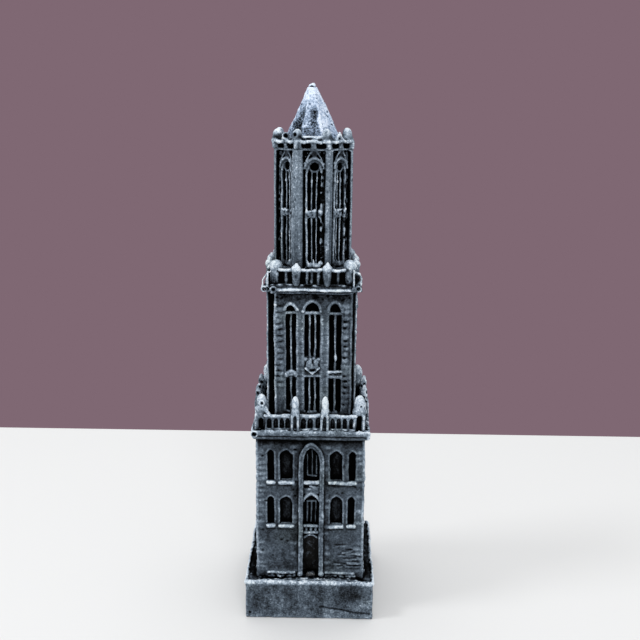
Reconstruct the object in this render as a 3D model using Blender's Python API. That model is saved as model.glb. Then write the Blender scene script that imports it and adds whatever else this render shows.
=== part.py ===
"""Miniature gothic tower: a cast table souvenir, modelled as the castings its shape is divided into.

The base stands on Z = 0, the axis of the tower is X = Y = 0 and the front faces -Y.
Sizes are in millimetres. Each mesh is scaled to metres as it is made.
"""
import math

import bpy
import bmesh
from mathutils import Matrix, Vector

MM = 0.001
SIDES = ("front", "right", "back", "left")
GLUE = 0.2                  # gap left for glue between two castings
TOTAL = 160.0

# ---- plinth ----
PLINTH_HALF = 19.5
PLINTH_TOP = 12.7
PLINTH_EDGE = 0.9           # radius of the soft edges

# ---- keys: a square peg on each stage enters the stage above ----
KEY_HALF = 5.0
KEY_UP = 2.0
CLEAR = 0.2                 # clearance round and over a key

# ---- lower stage ----
LOWER_HALF = 16.1
LOWER_FOOT = PLINTH_TOP + GLUE
LOWER_TOP = 58.4
WINDOW_ROWS = ((45.0, 54.8), (30.5, 39.5))                               # foot and top
WINDOWS = ((-12.15, 2.0), (-7.5, 3.7), (7.5, 3.7), (12.15, 2.0))         # centre and width
WINDOW_DEPTH = 1.1
SILL_HEIGHT = 1.5
SILL_OUT = 0.55
SKIRTING = ((-12.9, -4.7), (4.7, 13.4))                                  # either side of the portal

# ---- portal ----
PORTAL_HALF = 3.95
PORTAL_BAR = 1.4            # width of the frame's bar
PORTAL_INNER = PORTAL_HALF - PORTAL_BAR
PORTAL_SPRING = 51.2
PORTAL_APEX = 57.1
PORTAL_OUT = 0.8            # how far the frame stands out of the wall
PORTAL_DEPTH = 1.6          # depth of the recess inside the frame
PANEL_FOOT = 30.8
BALCONY = (27.3, 30.4)
DOOR = (14.7, 24.6, 26.7)   # foot, spring and apex
STEP_RADIUS = 1.75

# ---- lower gallery ----
LOWER_CORNICE_HALF = 17.5
LOWER_CORNICE_TOP = 61.4
LOWER_RAIL = {"line": 16.15, "top": 66.4, "kerb": 1.5, "panel": 0.9, "rail": 1.24, "hole": 0.95}
LOWER_CORNER = 14.6
LOWER_CORNER_HALF = 1.75
LOWER_MID = 4.45
LOWER_MID_HALF = 1.1
PINNACLE_TOP = 71.5

# ---- middle stage ----
MID_HALF = 12.85
MID_FACE = 11.4             # half length of a face between the notched corners
MID_FOOT = LOWER_CORNICE_TOP + GLUE
MID_TOP = 102.0
LANCETS = ((-6.4, 3.3, 2), (0.0, 4.5, 3), (6.4, 3.3, 2))                 # centre, width and lights
LANCET_FOOT = 66.3
LANCET_SPRING = 95.8
LANCET_TOP = 99.2
LANCET_DEPTH = 0.55
JAMB = 0.12                 # step between the edge of a bay and its outer light
TRANSOM = (76.3, 78.5)
SHIELD = (77.1, 82.8)

# ---- upper gallery ----
UPPER_CORNICE_TOP = 104.4
CORNICE_GROWTH = 0.95
UPPER_RAIL = {"line": 12.6, "top": 109.0, "kerb": 1.1, "panel": 0.8, "rail": 1.0, "hole": 0.95}
UPPER_CORNER = 10.75
UPPER_CORNER_HALF = 1.65
UPPER_MID = 4.4
UPPER_MID_HALF = 1.4
POST_TOPS = (111.1, 110.5)  # corner and intermediate posts

# ---- lantern, crown and spire ----
LANTERN_HALF = 11.3         # half distance across the flats
LANTERN_FOOT = UPPER_CORNICE_TOP + GLUE
LANTERN_TOP = 142.5
PIER = 2.9                  # width of the flat strip at each corner, along one face
BAY_DEPTH = 1.7
LIGHT_ROWS = ((111.2, 123.2), (125.7, 136.2))
ROSE = (138.3, 0.95)        # height and radius of the round opening
PEG_HALF = 3.0              # eight-sided peg under the spire
CROWN_FOOT = LANTERN_TOP + GLUE
CROWN_HALF = 11.6
CROWN_TOP = 144.7
KNOB_TOP = 147.8
KNOB_RADIUS = 1.3
SPIRE_FOOT = CROWN_TOP + GLUE
SPIRE_HALF = 7.8
SPIRE_TIP_HALF = 1.3
SPIRE_TIP = 158.7

SLATE = (0.115, 0.130, 0.155)
PALE = (0.235, 0.265, 0.310)
BLACK = (0.020, 0.022, 0.026)


# ------------------------------------------------------------------ outlines
def square(half):
    return [(-half, -half), (half, -half), (half, half), (-half, half)]


def notched(half, face):
    """Square whose corners are cut back, so that each face has the half length given."""
    return [(-face, -half), (face, -half), (face, -face), (half, -face), (half, face), (face, face),
            (face, half), (-face, half), (-face, face), (-half, face), (-half, -face), (-face, -face)]


def octagon(half):
    radius = half / math.cos(math.pi / 8)
    angles = [math.radians(22.5 + 45 * k) for k in range(8)]
    return [(radius * math.cos(a), radius * math.sin(a)) for a in angles]


def disc(x, y, radius, sides=8):
    angles = [2 * math.pi * k / sides for k in range(sides)]
    return [(x + radius * math.cos(a), y + radius * math.sin(a)) for a in angles]


def rounded(x, y, half_x, half_y, power, sides=8):
    """Rounded outline about (x, y): a power of 2 is an ellipse and a higher one is squarer."""
    points = []
    for k in range(sides):
        angle = 2 * math.pi * (k + 0.5) / sides
        c, s = math.cos(angle), math.sin(angle)
        reach = (abs(c) ** power + abs(s) ** power) ** (-1.0 / power)
        points.append((x + half_x * reach * c, y + half_y * reach * s))
    return points


def arch(centre, width, foot, spring, apex, steps=3):
    """Pointed arch seen from the front, as (x, z) points."""
    half = width / 2
    rise = apex - spring
    curve = [(half * (1 - (k / steps) ** 1.6), spring + rise * math.sin(k / steps * math.pi / 2))
             for k in range(steps + 1)]
    right = [(centre + x, z) for x, z in curve]
    left = [(centre - x, z) for x, z in reversed(curve[:-1])]
    return [(centre - half, foot), (centre + half, foot)] + right + left


# ------------------------------------------------------------------ shells
def stack(levels):
    """Shell through (z, outline) levels, from the lowest to the highest."""
    return [[(x, y, z) for x, y in outline] for z, outline in levels]


def column(outline, low, high):
    return stack(((low, outline), (high, outline)))


def block(x0, x1, y0, y1, z0, z1):
    return column([(x0, y0), (x1, y0), (x1, y1), (x0, y1)], z0, z1)


def through(outline, front, back):
    """Shell of an (x, z) outline that runs along Y."""
    return [[(x, y, z) for x, z in outline] for y in (front, back)]


def turned(loops, quarter):
    turn = Matrix.Rotation(math.radians(90 * quarter), 4, "Z")
    return [[tuple(turn @ Vector(point)) for point in loop] for loop in loops]


def shells_mesh(name, shells):
    bm = bmesh.new()
    for loops in shells:
        rings = [[bm.verts.new(Vector(point) * MM) for point in loop] for loop in loops]
        bm.faces.new(list(reversed(rings[0])))
        bm.faces.new(rings[-1])
        count = len(rings[0])
        for low, high in zip(rings, rings[1:]):
            for k in range(count):
                bm.faces.new((low[k], low[(k + 1) % count], high[(k + 1) % count], high[k]))
    bmesh.ops.recalc_face_normals(bm, faces=bm.faces)
    mesh = bpy.data.meshes.new(name)
    bm.to_mesh(mesh)
    bm.free()
    return mesh


# ------------------------------------------------------------------ castings
def clear_scene():
    for obj in list(bpy.data.objects):
        bpy.data.objects.remove(obj, do_unlink=True)


def apply_modifiers(obj):
    graph = bpy.context.evaluated_depsgraph_get()
    mesh = bpy.data.meshes.new_from_object(obj.evaluated_get(graph))
    obj.modifiers.clear()
    obj.data = mesh


def boolean(obj, shells, operation):
    """Join or cut a set of shells that don't touch one another."""
    tool = bpy.data.objects.new("tool", shells_mesh("tool", shells))
    bpy.context.collection.objects.link(tool)
    modifier = obj.modifiers.new("shape", "BOOLEAN")
    modifier.operation = operation
    modifier.solver = "EXACT"
    modifier.object = tool
    apply_modifiers(obj)
    bpy.data.objects.remove(tool, do_unlink=True)


def soften(obj, radius):
    modifier = obj.modifiers.new("edges", "BEVEL")
    modifier.width = radius * MM
    modifier.segments = 3
    modifier.limit_method = "ANGLE"
    apply_modifiers(obj)


def paint(name, colour, roughness):
    mat = bpy.data.materials.new(name)
    mat.use_nodes = True
    bsdf = mat.node_tree.nodes["Principled BSDF"]
    bsdf.inputs["Base Color"].default_value = (*colour, 1.0)
    bsdf.inputs["Roughness"].default_value = roughness
    bsdf.inputs["Metallic"].default_value = 0.0
    mat.diffuse_color = (*colour, 1.0)
    return mat


def casting(name, body, steps=(), colour=PALE, roughness=0.6, edge=0.0):
    """Object from one shell and a list of (operation, shells) steps, with its own material."""
    obj = bpy.data.objects.new(name, shells_mesh(name, [body]))
    bpy.context.collection.objects.link(obj)
    if edge:
        soften(obj, edge)
    for operation, shells in steps:
        boolean(obj, shells, operation)
    bm = bmesh.new()
    bm.from_mesh(obj.data)
    bmesh.ops.remove_doubles(bm, verts=bm.verts, dist=0.01 * MM)
    bmesh.ops.dissolve_limit(bm, angle_limit=0.002, verts=bm.verts, edges=bm.edges)
    bmesh.ops.triangulate(bm, faces=bm.faces)
    bm.to_mesh(obj.data)
    bm.free()
    obj.data.name = name
    obj.data.materials.clear()
    obj.data.materials.append(paint(name, colour, roughness))
    obj.parent = bpy.data.objects["tower"]
    return obj


def copy_of(obj, name, quarter, spot=None):
    """Another object with the same mesh, turned about the tower and moved to a spot (x, y)."""
    twin = bpy.data.objects.new(name, obj.data)
    bpy.context.collection.objects.link(twin)
    twin.parent = obj.parent
    place(twin, quarter, spot)
    return twin


def place(obj, quarter, spot=None):
    turn = math.radians(90 * quarter)
    obj.rotation_euler = (0, 0, turn)
    if spot:
        obj.location = Matrix.Rotation(turn, 3, "Z") @ Vector((*spot, 0)) * MM


def on_four_sides(stem, obj):
    """Name the front piece and repeat it on the other three sides."""
    obj.name = stem + "_" + SIDES[0]
    for quarter in (1, 2, 3):
        copy_of(obj, stem + "_" + SIDES[quarter], quarter)


# ------------------------------------------------------------------ base and lower stage
def make_plinth():
    key = column(square(KEY_HALF), PLINTH_TOP - 1, PLINTH_TOP + KEY_UP)
    casting("plinth", column(square(PLINTH_HALF), 0, PLINTH_TOP), [("UNION", [key])],
            colour=SLATE, edge=PLINTH_EDGE)


def keyway(foot):
    """Socket for the key of the stage below."""
    return column(square(KEY_HALF + CLEAR), foot - 1, foot + KEY_UP + CLEAR)


def make_lower_tower():
    wall = -LOWER_HALF
    openings, sills, bars = [], [], []
    for quarter in range(4):
        for foot, top in WINDOW_ROWS:
            for centre, width in WINDOWS:
                window = arch(centre, width, foot, top - width * 0.55, top)
                openings.append(turned(through(window, wall - 2, wall + WINDOW_DEPTH), quarter))
                profile = ((wall + 0.4, foot), (wall + 0.4, foot - SILL_HEIGHT),
                           (wall - SILL_OUT, foot - SILL_HEIGHT + 0.3), (wall - SILL_OUT, foot - 0.45))
                ends = (centre - width / 2 - 0.4, centre + width / 2 + 0.4)
                sills.append(turned([[(x, y, z) for y, z in profile] for x in ends], quarter))
        recess = arch(0, 2 * PORTAL_INNER, LOWER_FOOT + 0.6, PORTAL_SPRING, PORTAL_APEX - PORTAL_BAR, 6)
        openings.append(turned(through(recess, wall - 2, wall + PORTAL_DEPTH), quarter))
        for x0, x1 in SKIRTING:
            bar = block(x0, x1, wall - 0.45, wall + 0.4, LOWER_FOOT + 0.7, LOWER_FOOT + 1.7)
            bars.append(turned(bar, quarter))
    key = column(square(KEY_HALF), LOWER_TOP - 1, MID_FOOT + KEY_UP)
    casting("lower_tower", column(square(LOWER_HALF), LOWER_FOOT, LOWER_TOP),
            [("UNION", sills), ("UNION", bars), ("UNION", [key]), ("DIFFERENCE", openings),
             ("DIFFERENCE", [keyway(LOWER_FOOT)])], colour=SLATE)


def make_portal_frames():
    wall = -LOWER_HALF
    outer = arch(0, 2 * PORTAL_HALF, LOWER_FOOT, PORTAL_SPRING, PORTAL_APEX, 6)
    inner = arch(0, 2 * PORTAL_INNER, LOWER_FOOT - 2, PORTAL_SPRING, PORTAL_APEX - PORTAL_BAR, 6)
    frame = casting("portal_frame", through(outer, wall - PORTAL_OUT, wall - GLUE),
                    [("DIFFERENCE", [through(inner, wall - 3, wall + 1)])])
    on_four_sides("portal_frame", frame)


def make_doorway():
    wall = -LOWER_HALF
    back = wall + PORTAL_DEPTH - GLUE
    half = PORTAL_INNER - GLUE

    panel = arch(0, 2 * half, PANEL_FOOT, PORTAL_SPRING, PORTAL_APEX - PORTAL_BAR - GLUE, 6)
    lights = [arch(0, 3.6, 38.4, 39.2, 40.4)]
    for x in (-0.82, 0.82):
        lights.append(arch(x, 1.1, 46.6, 53.0, 54.0, 2))
        lights.append(arch(x, 1.1, 31.6, 36.6, 37.4, 2))
    sunk = [through(light, back - 2, back - 0.25) for light in lights]
    ledge = block(-half + 0.05, half - 0.05, back - 1.1, back - 0.3, 43.5, 44.5)
    casting("portal_tracery", through(panel, back - 0.7, back),
            [("UNION", [ledge]), ("DIFFERENCE", sunk)], colour=SLATE)

    pitch = 2 * half / 4
    gaps = [block(-half + pitch * (k + 0.2), -half + pitch * (k + 0.8), wall - 2, wall + 0.4,
                  BALCONY[0] + 0.8, BALCONY[1] - 0.8) for k in range(4)]
    casting("balcony", block(-half, half, wall - 0.5, back, *BALCONY), [("DIFFERENCE", gaps)])

    foot, spring, apex = DOOR
    leaf = arch(0, 2 * half, foot, spring, apex, 5)
    field = arch(0, 2 * half - 0.9, foot + 0.5, spring - 0.2, apex - 0.6, 5)
    casting("door_leaf", through(leaf, back - 0.8, back),
            [("DIFFERENCE", [through(field, back - 2, back - 0.35)])], colour=BLACK, roughness=0.35)

    bow = [(STEP_RADIUS * math.cos(a), wall - 0.15 + STEP_RADIUS * math.sin(a))
           for a in [math.pi * (1 + k / 8) for k in range(9)]]
    tread = bow + [(STEP_RADIUS, back), (-STEP_RADIUS, back)]
    casting("door_step", column(tread, PLINTH_TOP + 0.8, DOOR[0] - GLUE), colour=BLACK, roughness=0.35)


# ------------------------------------------------------------------ galleries
def make_parapet(stem, foot, size, bays):
    """Kerb, pierced panels and rails between the posts. A bay is its two ends and its openings."""
    line, top = size["line"], size["top"]

    def strip(x0, x1, thickness, low, high):
        return block(x0, x1, -line - thickness / 2, -line + thickness / 2, low, high)

    panels, rails, holes = [], [], []
    for x0, x1, count in bays:
        panels.append(strip(x0, x1, size["panel"], foot + 0.4, top - 0.6))
        rails.append(strip(x0, x1, size["rail"], top - 1.1, top))
        pitch = (x1 - x0) / count
        for k in range(count):
            hole = arch(x0 + pitch * (k + 0.5), size["hole"], foot + 0.9, top - 2.1, top - 1.4, 2)
            holes.append(through(hole, -line - 2, -line + 2))
    kerb = strip(bays[0][0], bays[-1][1], size["kerb"], foot, foot + 0.6)
    parapet = casting(stem, kerb, [("UNION", panels), ("UNION", rails), ("DIFFERENCE", holes)])
    on_four_sides(stem, parapet)


def three_bays(reach, middle, half_post, counts):
    gap = half_post + GLUE
    edges = (-reach, -middle - gap, -middle + gap, middle - gap, middle + gap, reach)
    return [(edges[2 * k], edges[2 * k + 1], counts[k]) for k in range(3)]


def make_posts(stem, corner, intermediate, corner_at, middle_at, line):
    """Four corner posts and two on each side between them, each stem made once and copied."""
    for quarter, side in enumerate(SIDES):
        name = "%s_corner_%d" % (stem, quarter + 1)
        spot = (corner_at, -corner_at)
        if quarter:
            copy_of(corner, name, quarter, spot)
        else:
            corner.name = name
            place(corner, quarter, spot)
        for number, x in ((1, -middle_at), (2, middle_at)):
            name = "%s_%s_%d" % (stem, side, number)
            if (quarter, number) == (0, 1):
                intermediate.name = name
                place(intermediate, quarter, (x, -line))
            else:
                copy_of(intermediate, name, quarter, (x, -line))


def pinnacle(half_x, half_y, foot):
    """Post with a niche in front, a neck and a bullet-shaped cap."""
    neck = LOWER_RAIL["top"] + 0.3
    spec = ((foot, 1.0, 8), (neck, 1.0, 8), (neck + 0.4, 1.0, 3), (neck + 0.8, 0.8, 2.4),
            (neck + 2.9, 0.82, 2), (PINNACLE_TOP - 0.7, 0.55, 2), (PINNACLE_TOP, 0.18, 2))
    body = stack([(z, rounded(0, 0, half_x * scale, half_y * scale, power)) for z, scale, power in spec])
    niche = arch(0, half_x * 0.85, foot + 0.6, LOWER_RAIL["top"] - 1.6, LOWER_RAIL["top"] - 0.5, 2)
    return casting("pinnacle", body, [("DIFFERENCE", [through(niche, -half_y - 1, -half_y + 0.5)])])


def blunt_post(half_x, half_y, foot, top):
    """Plain post with a swollen, rounded head."""
    spec = ((foot, 0.92, 6), (foot + 3.2, 0.9, 6), (top - 1.9, 1.0, 3.2), (top - 0.9, 0.9, 2.6),
            (top, 0.35, 2))
    return casting("post", stack([(z, rounded(0, 0, half_x * scale, half_y * scale, power))
                                  for z, scale, power in spec]))


def make_lower_gallery():
    levels = ((LOWER_TOP + GLUE, LOWER_HALF), (LOWER_TOP + 0.5, LOWER_HALF + 0.3), (59.4, LOWER_CORNICE_HALF),
              (60.8, LOWER_CORNICE_HALF), (LOWER_CORNICE_TOP, LOWER_CORNICE_HALF - 0.5))
    keyhole = column(square(KEY_HALF + CLEAR), LOWER_TOP - 1, LOWER_CORNICE_TOP + 1)
    casting("lower_cornice", stack([(z, square(half)) for z, half in levels]), [("DIFFERENCE", [keyhole])])

    foot = LOWER_CORNICE_TOP + GLUE
    reach = LOWER_CORNER - LOWER_CORNER_HALF - GLUE
    make_parapet("lower_parapet", foot, LOWER_RAIL, three_bays(reach, LOWER_MID, LOWER_MID_HALF, (4, 4, 4)))
    corner = pinnacle(LOWER_CORNER_HALF, LOWER_CORNER_HALF, foot)
    intermediate = pinnacle(LOWER_MID_HALF, 1.0, foot + 0.6 + GLUE)
    make_posts("lower_pinnacle", corner, intermediate, LOWER_CORNER, LOWER_MID, LOWER_RAIL["line"])


def make_upper_gallery():
    levels = ((MID_TOP + GLUE, 0.0), (MID_TOP + 0.7, CORNICE_GROWTH), (103.6, CORNICE_GROWTH),
              (UPPER_CORNICE_TOP, 0.35))
    slab = stack([(z, notched(MID_HALF + grow, MID_FACE + grow * 0.2)) for z, grow in levels])
    keyhole = column(square(KEY_HALF + CLEAR), MID_TOP - 1, UPPER_CORNICE_TOP + 1)
    casting("upper_cornice", slab, [("DIFFERENCE", [keyhole])])

    foot = UPPER_CORNICE_TOP + GLUE
    reach = UPPER_CORNER - UPPER_CORNER_HALF - GLUE
    make_parapet("upper_parapet", foot, UPPER_RAIL, three_bays(reach, UPPER_MID, UPPER_MID_HALF, (2, 3, 2)))
    corner = blunt_post(UPPER_CORNER_HALF, UPPER_CORNER_HALF, foot, POST_TOPS[0])
    intermediate = blunt_post(UPPER_MID_HALF, 0.95, foot + 0.6 + GLUE, POST_TOPS[1])
    make_posts("upper_post", corner, intermediate, UPPER_CORNER, UPPER_MID, UPPER_RAIL["line"])


def make_corner_spouts():
    """Looped piece in each notch of the upper cornice, with a pit right through it."""
    inner = MID_FACE + CORNICE_GROWTH * 0.2 + GLUE
    rise = ((0.1, 102.2), (2.2, 102.6), (2.6, 104.0), (1.9, 107.0), (1.3, 108.2), (0.95, 107.2),
            (0.95, 104.3), (0.1, 104.1))
    fin = through([(inner + x, z) for x, z in rise], -inner - 1.5, -inner - 0.1)
    pit = through(disc(inner + 1.35, 103.35, 0.5), -inner - 4, -inner + 3)
    spout = casting("corner_spout_1", fin, [("DIFFERENCE", [pit])])
    for quarter in (1, 2, 3):
        copy_of(spout, "corner_spout_%d" % (quarter + 1), quarter)


# ------------------------------------------------------------------ middle stage
def make_middle_tower():
    wall = -MID_HALF
    hoods, bays, lights = [], [], []
    for quarter in range(4):
        for centre, width, count in LANCETS:
            hood = arch(centre, width + 1.1, LANCET_SPRING - 1.5, LANCET_SPRING, LANCET_TOP + 0.9, 4)
            hoods.append(turned(through(hood, wall - 0.35, wall + 0.3), quarter))
            bay = arch(centre, width, LANCET_FOOT, LANCET_SPRING, LANCET_TOP, 4)
            bays.append(turned(through(bay, wall - 2, wall + LANCET_DEPTH), quarter))
            slot = 1.2 if count == 2 else 0.95
            sill = TRANSOM[1] if count == 2 else SHIELD[1]
            for k in range(count):
                x = centre + (width - slot - 2 * JAMB) * (k / (count - 1) - 0.5)
                for z0, z1 in ((LANCET_FOOT + 0.3, TRANSOM[0]), (sill + 0.2, LANCET_SPRING)):
                    light = arch(x, slot, z0, z1 - 0.7, z1, 2)
                    lights.append(turned(through(light, wall - 1, wall + 1.6), quarter))
    key = column(square(KEY_HALF), MID_TOP - 1, LANTERN_FOOT + KEY_UP)
    casting("middle_tower", column(notched(MID_HALF, MID_FACE), MID_FOOT, MID_TOP),
            [("UNION", hoods), ("UNION", [key]), ("DIFFERENCE", bays), ("DIFFERENCE", lights),
             ("DIFFERENCE", [keyway(MID_FOOT)])], colour=SLATE)


def make_shield():
    low, high = SHIELD
    outline = ((-1.9, high), (-1.9, low + 2.9), (-1.3, low + 1.2), (0, low), (1.3, low + 1.2),
               (1.9, low + 2.9), (1.9, high))
    back = -MID_HALF + LANCET_DEPTH - GLUE
    casting("shield_boss", through(outline, back - 1.0, back))


# ------------------------------------------------------------------ lantern, crown and spire
def make_lantern():
    wall = -LANTERN_HALF
    bay_width = 2 * LANTERN_HALF * math.tan(math.pi / 8) - PIER
    bays, frames, lights = [], [], []
    for eighth in range(8):
        quarter = eighth / 2
        bay = arch(0, bay_width, LANTERN_FOOT + 4.6, 139.5, 142.0, 4)
        bays.append(turned(through(bay, wall - 2, wall + BAY_DEPTH), quarter))
        frame = arch(0, 5.2, LANTERN_FOOT + 4.0, 137.2, 141.2, 4)
        frames.append(turned(through(frame, wall + 0.35, wall + 2.4), quarter))
        for x in (-1.5, 0.0, 1.5):
            for z0, z1 in LIGHT_ROWS:
                light = arch(x, 0.95, z0, z1 - 0.5, z1, 2)
                lights.append(turned(through(light, wall - 1, wall + 2.2), quarter))
        lights.append(turned(through(disc(0, *ROSE), wall - 1, wall + 2.2), quarter))
    peg = column(octagon(PEG_HALF), LANTERN_TOP - 1, SPIRE_FOOT + KEY_UP)
    casting("lantern", column(octagon(LANTERN_HALF), LANTERN_FOOT, LANTERN_TOP),
            [("DIFFERENCE", bays), ("DIFFERENCE", [keyway(LANTERN_FOOT)]), ("UNION", frames),
             ("DIFFERENCE", lights), ("UNION", [peg])], colour=SLATE)


def make_crown():
    levels = ((CROWN_FOOT, -0.4), (CROWN_FOOT + 0.3, -0.3), (CROWN_TOP - 0.7, -0.3), (CROWN_TOP - 0.5, 0.0),
              (CROWN_TOP, -0.1))
    slab = stack([(z, octagon(CROWN_HALF + grow)) for z, grow in levels])
    ring = octagon(CROWN_HALF - 1.7)
    knob_spec = ((CROWN_TOP - 0.4, 0.85), (CROWN_TOP + 1.3, 1.0), (KNOB_TOP - 0.8, 0.8), (KNOB_TOP, 0.25))
    knobs = []
    for x, y in ring:
        loops = [(z, rounded(x, y, KNOB_RADIUS * scale, KNOB_RADIUS * scale, 2)) for z, scale in knob_spec]
        knobs.append(stack(loops))
    gable = ((-1.5, CROWN_TOP - 0.4), (1.5, CROWN_TOP - 0.4), (1.1, CROWN_TOP + 0.6), (0, CROWN_TOP + 1.5),
             (-1.1, CROWN_TOP + 0.6))
    gables, arcade = [], []
    for eighth in range(8):
        gables.append(turned(through(gable, -CROWN_HALF + 0.4, -CROWN_HALF + 1.4), eighth / 2))
        for x in (-2.1, 2.1):
            opening = block(x - 1.1, x + 1.1, -CROWN_HALF - 1, -CROWN_HALF + 1.4, CROWN_FOOT + 0.35,
                            CROWN_TOP - 0.75)
            arcade.append(turned(opening, eighth / 2))
    keyhole = column(octagon(PEG_HALF + CLEAR), LANTERN_TOP - 1, CROWN_TOP + 1)
    casting("crown", slab, [("UNION", knobs), ("UNION", gables), ("DIFFERENCE", arcade),
                            ("DIFFERENCE", [keyhole])])


def make_spire():
    levels = ((SPIRE_FOOT, SPIRE_HALF), (SPIRE_FOOT + 0.5, SPIRE_HALF), (SPIRE_TIP, SPIRE_TIP_HALF))
    socket = column(octagon(PEG_HALF + CLEAR), SPIRE_FOOT - 1, SPIRE_FOOT + KEY_UP + CLEAR)
    casting("spire", stack([(z, octagon(half)) for z, half in levels]), [("DIFFERENCE", [socket])])

    foot = SPIRE_TIP + GLUE
    spec = ((foot, 1.15), (foot + 0.3, 1.3), (foot + 0.55, 1.0), (TOTAL - 0.12, 0.6), (TOTAL, 0.3))
    casting("finial", stack([(z, rounded(0, 0, radius, radius, 2, 12)) for z, radius in spec]))


clear_scene()
bpy.context.collection.objects.link(bpy.data.objects.new("tower", None))
make_plinth()
make_lower_tower()
make_portal_frames()
make_doorway()
make_lower_gallery()
make_middle_tower()
make_shield()
make_upper_gallery()
make_corner_spouts()
make_lantern()
make_crown()
make_spire()
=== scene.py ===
"""Miniature gothic tower: hand-sculpted, dry-brushed cast resin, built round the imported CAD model.

Every piece is modelled like clay: soft solids are added to and cut from a small distance field,
the surface is drawn off as a mesh, and how proud, hollow, deep and toned each point is are stored
on it for the paint. Sizes are millimetres, and metres in the studio at the end.
"""

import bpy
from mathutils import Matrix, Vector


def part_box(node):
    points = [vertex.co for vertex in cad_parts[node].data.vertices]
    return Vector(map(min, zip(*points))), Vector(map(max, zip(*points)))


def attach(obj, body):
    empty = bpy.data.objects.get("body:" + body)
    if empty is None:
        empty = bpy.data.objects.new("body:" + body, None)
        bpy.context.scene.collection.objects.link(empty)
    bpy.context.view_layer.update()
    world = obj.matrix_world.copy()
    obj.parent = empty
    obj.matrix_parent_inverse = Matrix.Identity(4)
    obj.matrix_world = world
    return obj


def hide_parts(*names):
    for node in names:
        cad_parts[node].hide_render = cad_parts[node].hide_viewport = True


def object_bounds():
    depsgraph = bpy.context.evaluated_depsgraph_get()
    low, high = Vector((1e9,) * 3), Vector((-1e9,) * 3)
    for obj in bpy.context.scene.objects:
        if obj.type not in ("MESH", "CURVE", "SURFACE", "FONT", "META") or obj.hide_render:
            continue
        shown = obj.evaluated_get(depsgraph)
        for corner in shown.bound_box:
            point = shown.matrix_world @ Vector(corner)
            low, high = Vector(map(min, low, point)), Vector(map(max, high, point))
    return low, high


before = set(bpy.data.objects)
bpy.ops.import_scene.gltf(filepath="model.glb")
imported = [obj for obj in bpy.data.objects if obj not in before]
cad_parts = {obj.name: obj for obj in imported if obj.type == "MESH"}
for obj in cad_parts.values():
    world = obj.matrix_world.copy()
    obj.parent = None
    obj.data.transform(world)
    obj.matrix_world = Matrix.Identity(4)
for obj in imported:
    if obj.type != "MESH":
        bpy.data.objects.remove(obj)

import copy
import math

import bpy
import numpy as np
from mathutils import Matrix, Vector

CAD_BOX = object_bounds()

MM = 0.001
GRAIN = 0.27        # size of a clay cell
PAD = 3                                    # empty cells kept round a piece
FAR = 9.0                                  # distance held by empty clay
SIDES = ("front", "right", "back", "left")
ENDS = (-1, 1)                             # left and right of a middle line
STILL = (0, 0, 0)                          # no spread
RNG = np.random.default_rng(41)


# ---------------- chance
def near(amount):
    return float(RNG.uniform(-amount, amount))


def about(values, spreads):
    """Each value moved at random within its spread. A spread of 0 draws nothing."""
    return [value + near(spread) if spread else value for value, spread in zip(values, spreads)]


def strew(act, spots, spread, size, grow=STILL, soft=0.2, tone=0.0, vary=0.0):
    """Lumps at the spots, added or cut by act.

    Spread moves each place at random, grow its size and vary its tone.
    """
    for spot in spots:
        solid = lump(about(spot, spread), about(size, grow))
        act(solid, soft, tone + near(vary) if vary else tone)


# ---------------- clay
def smin(a, b, soft):
    h = np.maximum(soft - np.abs(a - b), 0.0)
    return np.minimum(a, b) - h * h / (4 * soft)


def smax(a, b, soft):
    return -smin(-a, -b, soft)


class Clay:
    """Distance field in a box. Shapes are functions of (u, w, z): along a face, outward and up.

    Beside the field it keeps a tone for the paint, from -1 black to 1 chalk white, which also
    carries some painted shade and painted highlights. Its turn is the face that is worked on, in
    quarter turns from the front.
    """

    def __init__(self, low, high):
        self.first = np.floor(np.array(low) / GRAIN).astype(int) - PAD
        last = np.ceil(np.array(high) / GRAIN).astype(int) + PAD
        self.size = last - self.first + 1
        self.field = np.full(self.size, FAR, np.float32)
        self.tone = np.zeros(self.size, np.float32)
        self.turn = 0

    def face(self, turn):
        """The same clay, worked on from another side."""
        side = copy.copy(self)
        side.turn = turn
        return side

    def window(self, low, high, margin):
        """Cells near a (u, w, z) box, with their u, w and z."""
        angle = self.turn * math.pi / 2
        c, s = math.cos(angle), math.sin(angle)
        corners = [(u * c + w * s, u * s - w * c) for u in (low[0], high[0]) for w in (low[1], high[1])]
        spot = np.array(corners)
        box_low = np.array((*spot.min(0), low[2])) - margin
        box_high = np.array((*spot.max(0), high[2])) + margin
        i0 = np.clip(np.floor(box_low / GRAIN).astype(int) - self.first, 0, self.size - 1)
        i1 = np.clip(np.ceil(box_high / GRAIN).astype(int) - self.first + 1, i0 + 1, self.size)
        x, y, z = [(np.arange(a, b) + f) * np.float32(GRAIN) for a, b, f in zip(i0, i1, self.first)]
        x, y, z = x[:, None, None], y[None, :, None], z[None, None, :]
        cells = tuple(slice(a, b) for a, b in zip(i0, i1))
        return cells, x * c + y * s, x * s - y * c, z

    def merge(self, solid, sign, soft, tone):
        shape, low, high = solid
        cells, u, w, z = self.window(low, high, soft + 3 * GRAIN)
        old, new = sign * self.field[cells], shape(u, w, z)
        share = np.clip(0.5 + (old - new) / max(soft, GRAIN), 0, 1)
        self.tone[cells] += (tone - self.tone[cells]) * share
        self.field[cells] = sign * smin(old, new, soft)

    def add(self, solid, soft=0.2, tone=0.0):
        self.merge(solid, 1, soft, tone)

    def cut(self, solid, soft=0.2, tone=-1.0):
        self.merge(solid, -1, soft, tone)

    def stain_and_painted_light(self, solid, soft, tone):
        """Changes the tone alone, in a shape with a soft border: blotches of paint, and also painted shade
        and painted highlights.
        """
        shape, low, high = solid
        cells, u, w, z = self.window(low, high, soft)
        self.tone[cells] += tone * np.clip(0.5 - shape(u, w, z) / (2 * soft), 0, 1)


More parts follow.
